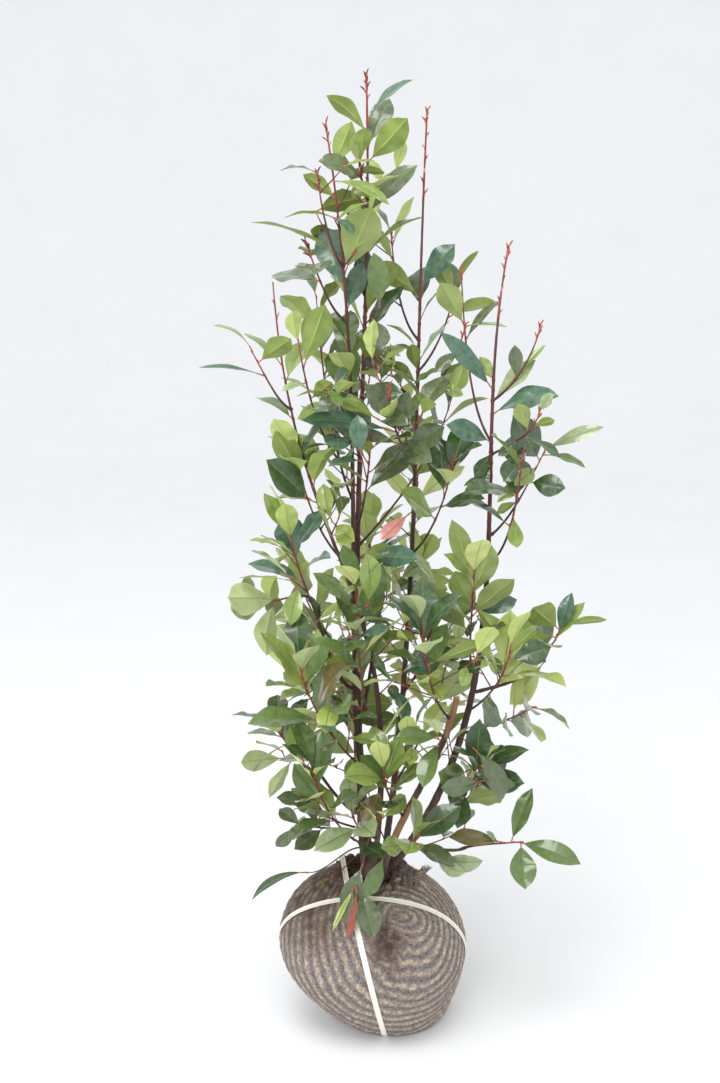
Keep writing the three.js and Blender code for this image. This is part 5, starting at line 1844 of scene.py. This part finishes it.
KIND |= {f"under_{name}": k + len(TOPS) for k, name in enumerate(UNDERS)}
KIND |= {"rib_pale": len(KIND), "rib_top": len(KIND) + 1, "stalk": len(KIND) + 2, "bud": len(KIND) + 3}
print(len(LEAF_FINISHES), "finishes for leaves")

# %% Which leaf is which green
# Up to each height: the upper greens and the under greens that are dealt there.
# The soft greens, dealt in the low and middle zones, carry painted light.
ZONES = [
    (520, ["deep", "mid", "grey", "soft", "fresh"], ["dull", "soft", "olive", "bright", "yellow"]),
    (900, ["mid", "fresh", "deep", "fresh", "blue", "yellow"], ["soft", "bright", "yellow"]),
    (9999, ["blue", "grey", "deep", "mid", "fresh"], ["olive", "pale", "dull", "bright", "bright"]),
]
HABITS = {"foot_front": ("grey", "dull")}  # a mass that keeps to one pair
OWN_SHARE = 0.3  # how many leaves leave the pair of their spray
BROWN_BELOW, BROWN_SHARE = 620, 0.05


def dealt(dice, height):
    """An upper and an under green, dealt by height."""
    tops, unders = next((tops, unders) for limit, tops, unders in ZONES if height < limit)
    return dice.pick(tops), dice.pick(unders)


print(len(ZONES), "zones of height, each with its greens")

# %% Put the leaves on
LEAF_ROWS, FINE_ROWS = 26, 20
LEAF_TEETH = 0.018
LEAF_SLIM = (0.84, 1.06)
LEAF_DROOP, NO_DROOP = (0, 26), (0, 1)
LEAF_BELLY = (1.1, 1.4)
STALK_RINGS = 5
BACK_FROM, LOW_TO, MIDDLE_TO = 55, 560, 880  # a leaf's pile goes by its depth and height


def add_stalk(pile, leaf, thick=1.15):
    places, _ = leaf.spine(np.linspace(0, STALK_SHARE * 1.25, STALK_RINGS))
    add_tube(pile, places, thick * np.array([1.35, 1, 0.9, 0.85, 0.7]), 6, KIND["stalk"])


def add_leaf(pile, leaf, dice, top, under, rows=LEAF_ROWS, droop=LEAF_DROOP):
    wave = (dice.roll(0.04, 0.13), dice.roll(1.4, 2.8), dice.roll(0, 1))
    leaf.width *= dice.roll(*LEAF_SLIM)
    leaf.arch += math.radians(dice.roll(*droop))
    rings = blade_rings(leaf, rows, wave, LEAF_TEETH, dice.roll(-0.05, 0.05), dice.roll(*LEAF_BELLY))
    ribs = ["stalk", "stalk"] if top in ("red", "wine", "pink", "rust") else ["rib_top", "rib_pale"]
    kinds = blade_kinds(rows, *[KIND[kind] for kind in (f"top_{top}", f"under_{under}", *ribs, "stalk")])
    pile.add(rings.reshape(-1, 3), blade_faces(rows), kinds)
    add_stalk(pile, leaf)


def pile_at(place):
    """Which pile a place belongs to."""
    _, y, z = place
    return "back" if y > BACK_FROM else "low" if z < LOW_TO else "middle" if z < MIDDLE_TO else "crown"


def group_of(mass):
    """Which pile a mass goes to, by where its leaves are."""
    own = [shoot for shoot in shoots if shoot["row"]["mass"] == mass]
    return pile_at(np.mean([leaf.root for shoot in own for leaf, _ in shoot["leaves"]], axis=0))


piles = {group: Pile(f"leaves_{group}", LEAF_FINISHES) for group in ("low", "middle", "crown", "back")}
group_by_mass = {mass: group_of(mass) for mass in MASSES}
for shoot in shoots:
    dice = Dice(271 * (shoot["order"] + 3))
    habit = dealt(dice, shoot["limb"].point(0.7)[2])
    for leaf, t in shoot["leaves"]:
        own = dice.roll(0, 1) < OWN_SHARE
        top, under = dealt(dice, leaf.root[2]) if own else habit
        if leaf.root[2] < BROWN_BELOW and dice.roll(0, 1) < BROWN_SHARE:
            top = "brown"
        top, under = leaf.greens or HABITS.get(shoot["row"]["mass"], (top, under))
        droop = NO_DROOP if leaf.greens else LEAF_DROOP
        add_leaf(piles[group_by_mass[shoot["row"]["mass"]]], leaf, dice, top, under, droop=droop)
for twig in fine:
    dice = Dice(131 * (twig["order"] + 7))
    habit = dealt(dice, twig["limb"].point(1)[2])
    group = pile_at(twig["leaves"][0][0].root)
    for leaf, _ in twig["leaves"]:
        top, under = dealt(dice, leaf.root[2]) if dice.roll(0, 1) < OWN_SHARE else habit
        add_leaf(piles[group], leaf, dice, top, under, FINE_ROWS)
dice = Dice(419)
for row in odd:
    pile = piles["low" if row["leaf"].root[2] < LOW_TO else "middle"]
    add_leaf(pile, row["leaf"], dice, row["top"], row["under"], droop=NO_DROOP)
for group, pile in piles.items():
    pile.build("foliage", *[mass for mass in MASSES if group_by_mass[mass] == group], crease=40)

# %% Buds in the axils, and furled red leaves at the tips
# The furled tuft at the end of each mass: its length and its red.
TUFTS = {
    "leader_crown": (30, "wine"), "left_crown": (26, "wine"), "right_crown": (20, "red"),
    "far_right_crown": (22, "red"), "front_red": (26, "red"), "upper_right": (24, "red"),
    "upper_left": (20, "wine"), "right_upper": (18, "red"), "left_inner": (18, "wine"),
    "back_centre": (18, "red"),
}
TIP_BUD = 5
buds = Pile("buds_and_tips", LEAF_FINISHES)


def add_bud(pile, root, way, length, thick):
    places = [root + way * length * share for share in (0, 0.3, 0.7, 1)]
    add_tube(pile, places, [thick * 0.8, thick, thick * 0.6, thick * 0.08], 6, KIND["bud"])


def small_leaf(root, way, face, length, share, fold):
    return Leaf(root, way, face, length, length * share, math.radians(12), fold)


def add_tuft(pile, limb, length, kind, dice):
    """Young leaves, narrow, furled, and still pressed to the tip that they stand on."""
    whole = limb.length()
    for k in range(5):
        t = 1 - (0.05 + 0.21 * k) * length / whole
        root, way = limb.point(t), limb.tangent(t)
        spoke = spoke_at(LEAF_SPIRAL * k + dice.roll(-20, 20), way)
        along, face = leaning(way, spoke, math.radians(dice.roll(5, 11) + 4 * k))
        size = length * dice.roll(0.35, 0.7)
        leaf = small_leaf(root + spoke * limb.radius(t) * 0.6, along, face, size, 0.22, dice.roll(0.6, 1.0))
        add_leaf(pile, leaf, dice, kind, kind, 12)


for shoot in shoots:
    limb, dice = shoot["limb"], Dice(53 * (shoot["order"] + 1))
    for leaf, t in shoot["leaves"]:
        along = limb.tangent(t)
        way = unit(along * 0.85 + leaf.along * 0.5)
        out = across_to(leaf.along, along)
        root = limb.point(t) + out * limb.radius(t) * 0.8 + along * 2.4
        add_bud(buds, root, way, dice.roll(2.6, 4.6), 1.05)
    add_bud(buds, limb.point(1) - limb.tangent(1) * 0.6, limb.tangent(1), TIP_BUD, limb.radius(1) * 1.25)
    if shoot["row"]["mass"] in TUFTS:
        add_tuft(buds, limb, *TUFTS[shoot["row"]["mass"]], dice)
    if "tip" not in shoot["row"]:
        whole = limb.length()
        first = mixed(shoot["start"], 1, shoot["row"].get("top", 1)) * whole
        first = whole - 0.5 * (whole - first)
        for k, place in enumerate(np.arange(first, whole - 12, 17)):
            t = place / whole
            along = limb.tangent(t)
            out = spoke_at(LEAF_SPIRAL * k, along)
            root = limb.point(t) + out * limb.radius(t) * 0.7
            way, face = leaning(along, out, math.radians(dice.roll(10, 30)))
            young = small_leaf(root, way, face, dice.roll(7, 14), 0.28, 0.7)
            add_leaf(buds, young, dice, "red", "pink" if dice.roll(0, 1) < 0.4 else "red", 8)
buds.build("foliage", crease=50)

# %% [markdown]
# ## Size and end
#
# The sizes of the solids and of the dressed plant are printed side by side. The dressed plant
# must stay inside the room that the solids take, but for a few millimetres.

# %% Size and end
low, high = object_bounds()
print("solids:", [round(b - a, 4) for a, b in zip(cad_low, cad_high)])
print("dressed:", [round(b - a, 4) for a, b in zip(low, high)])
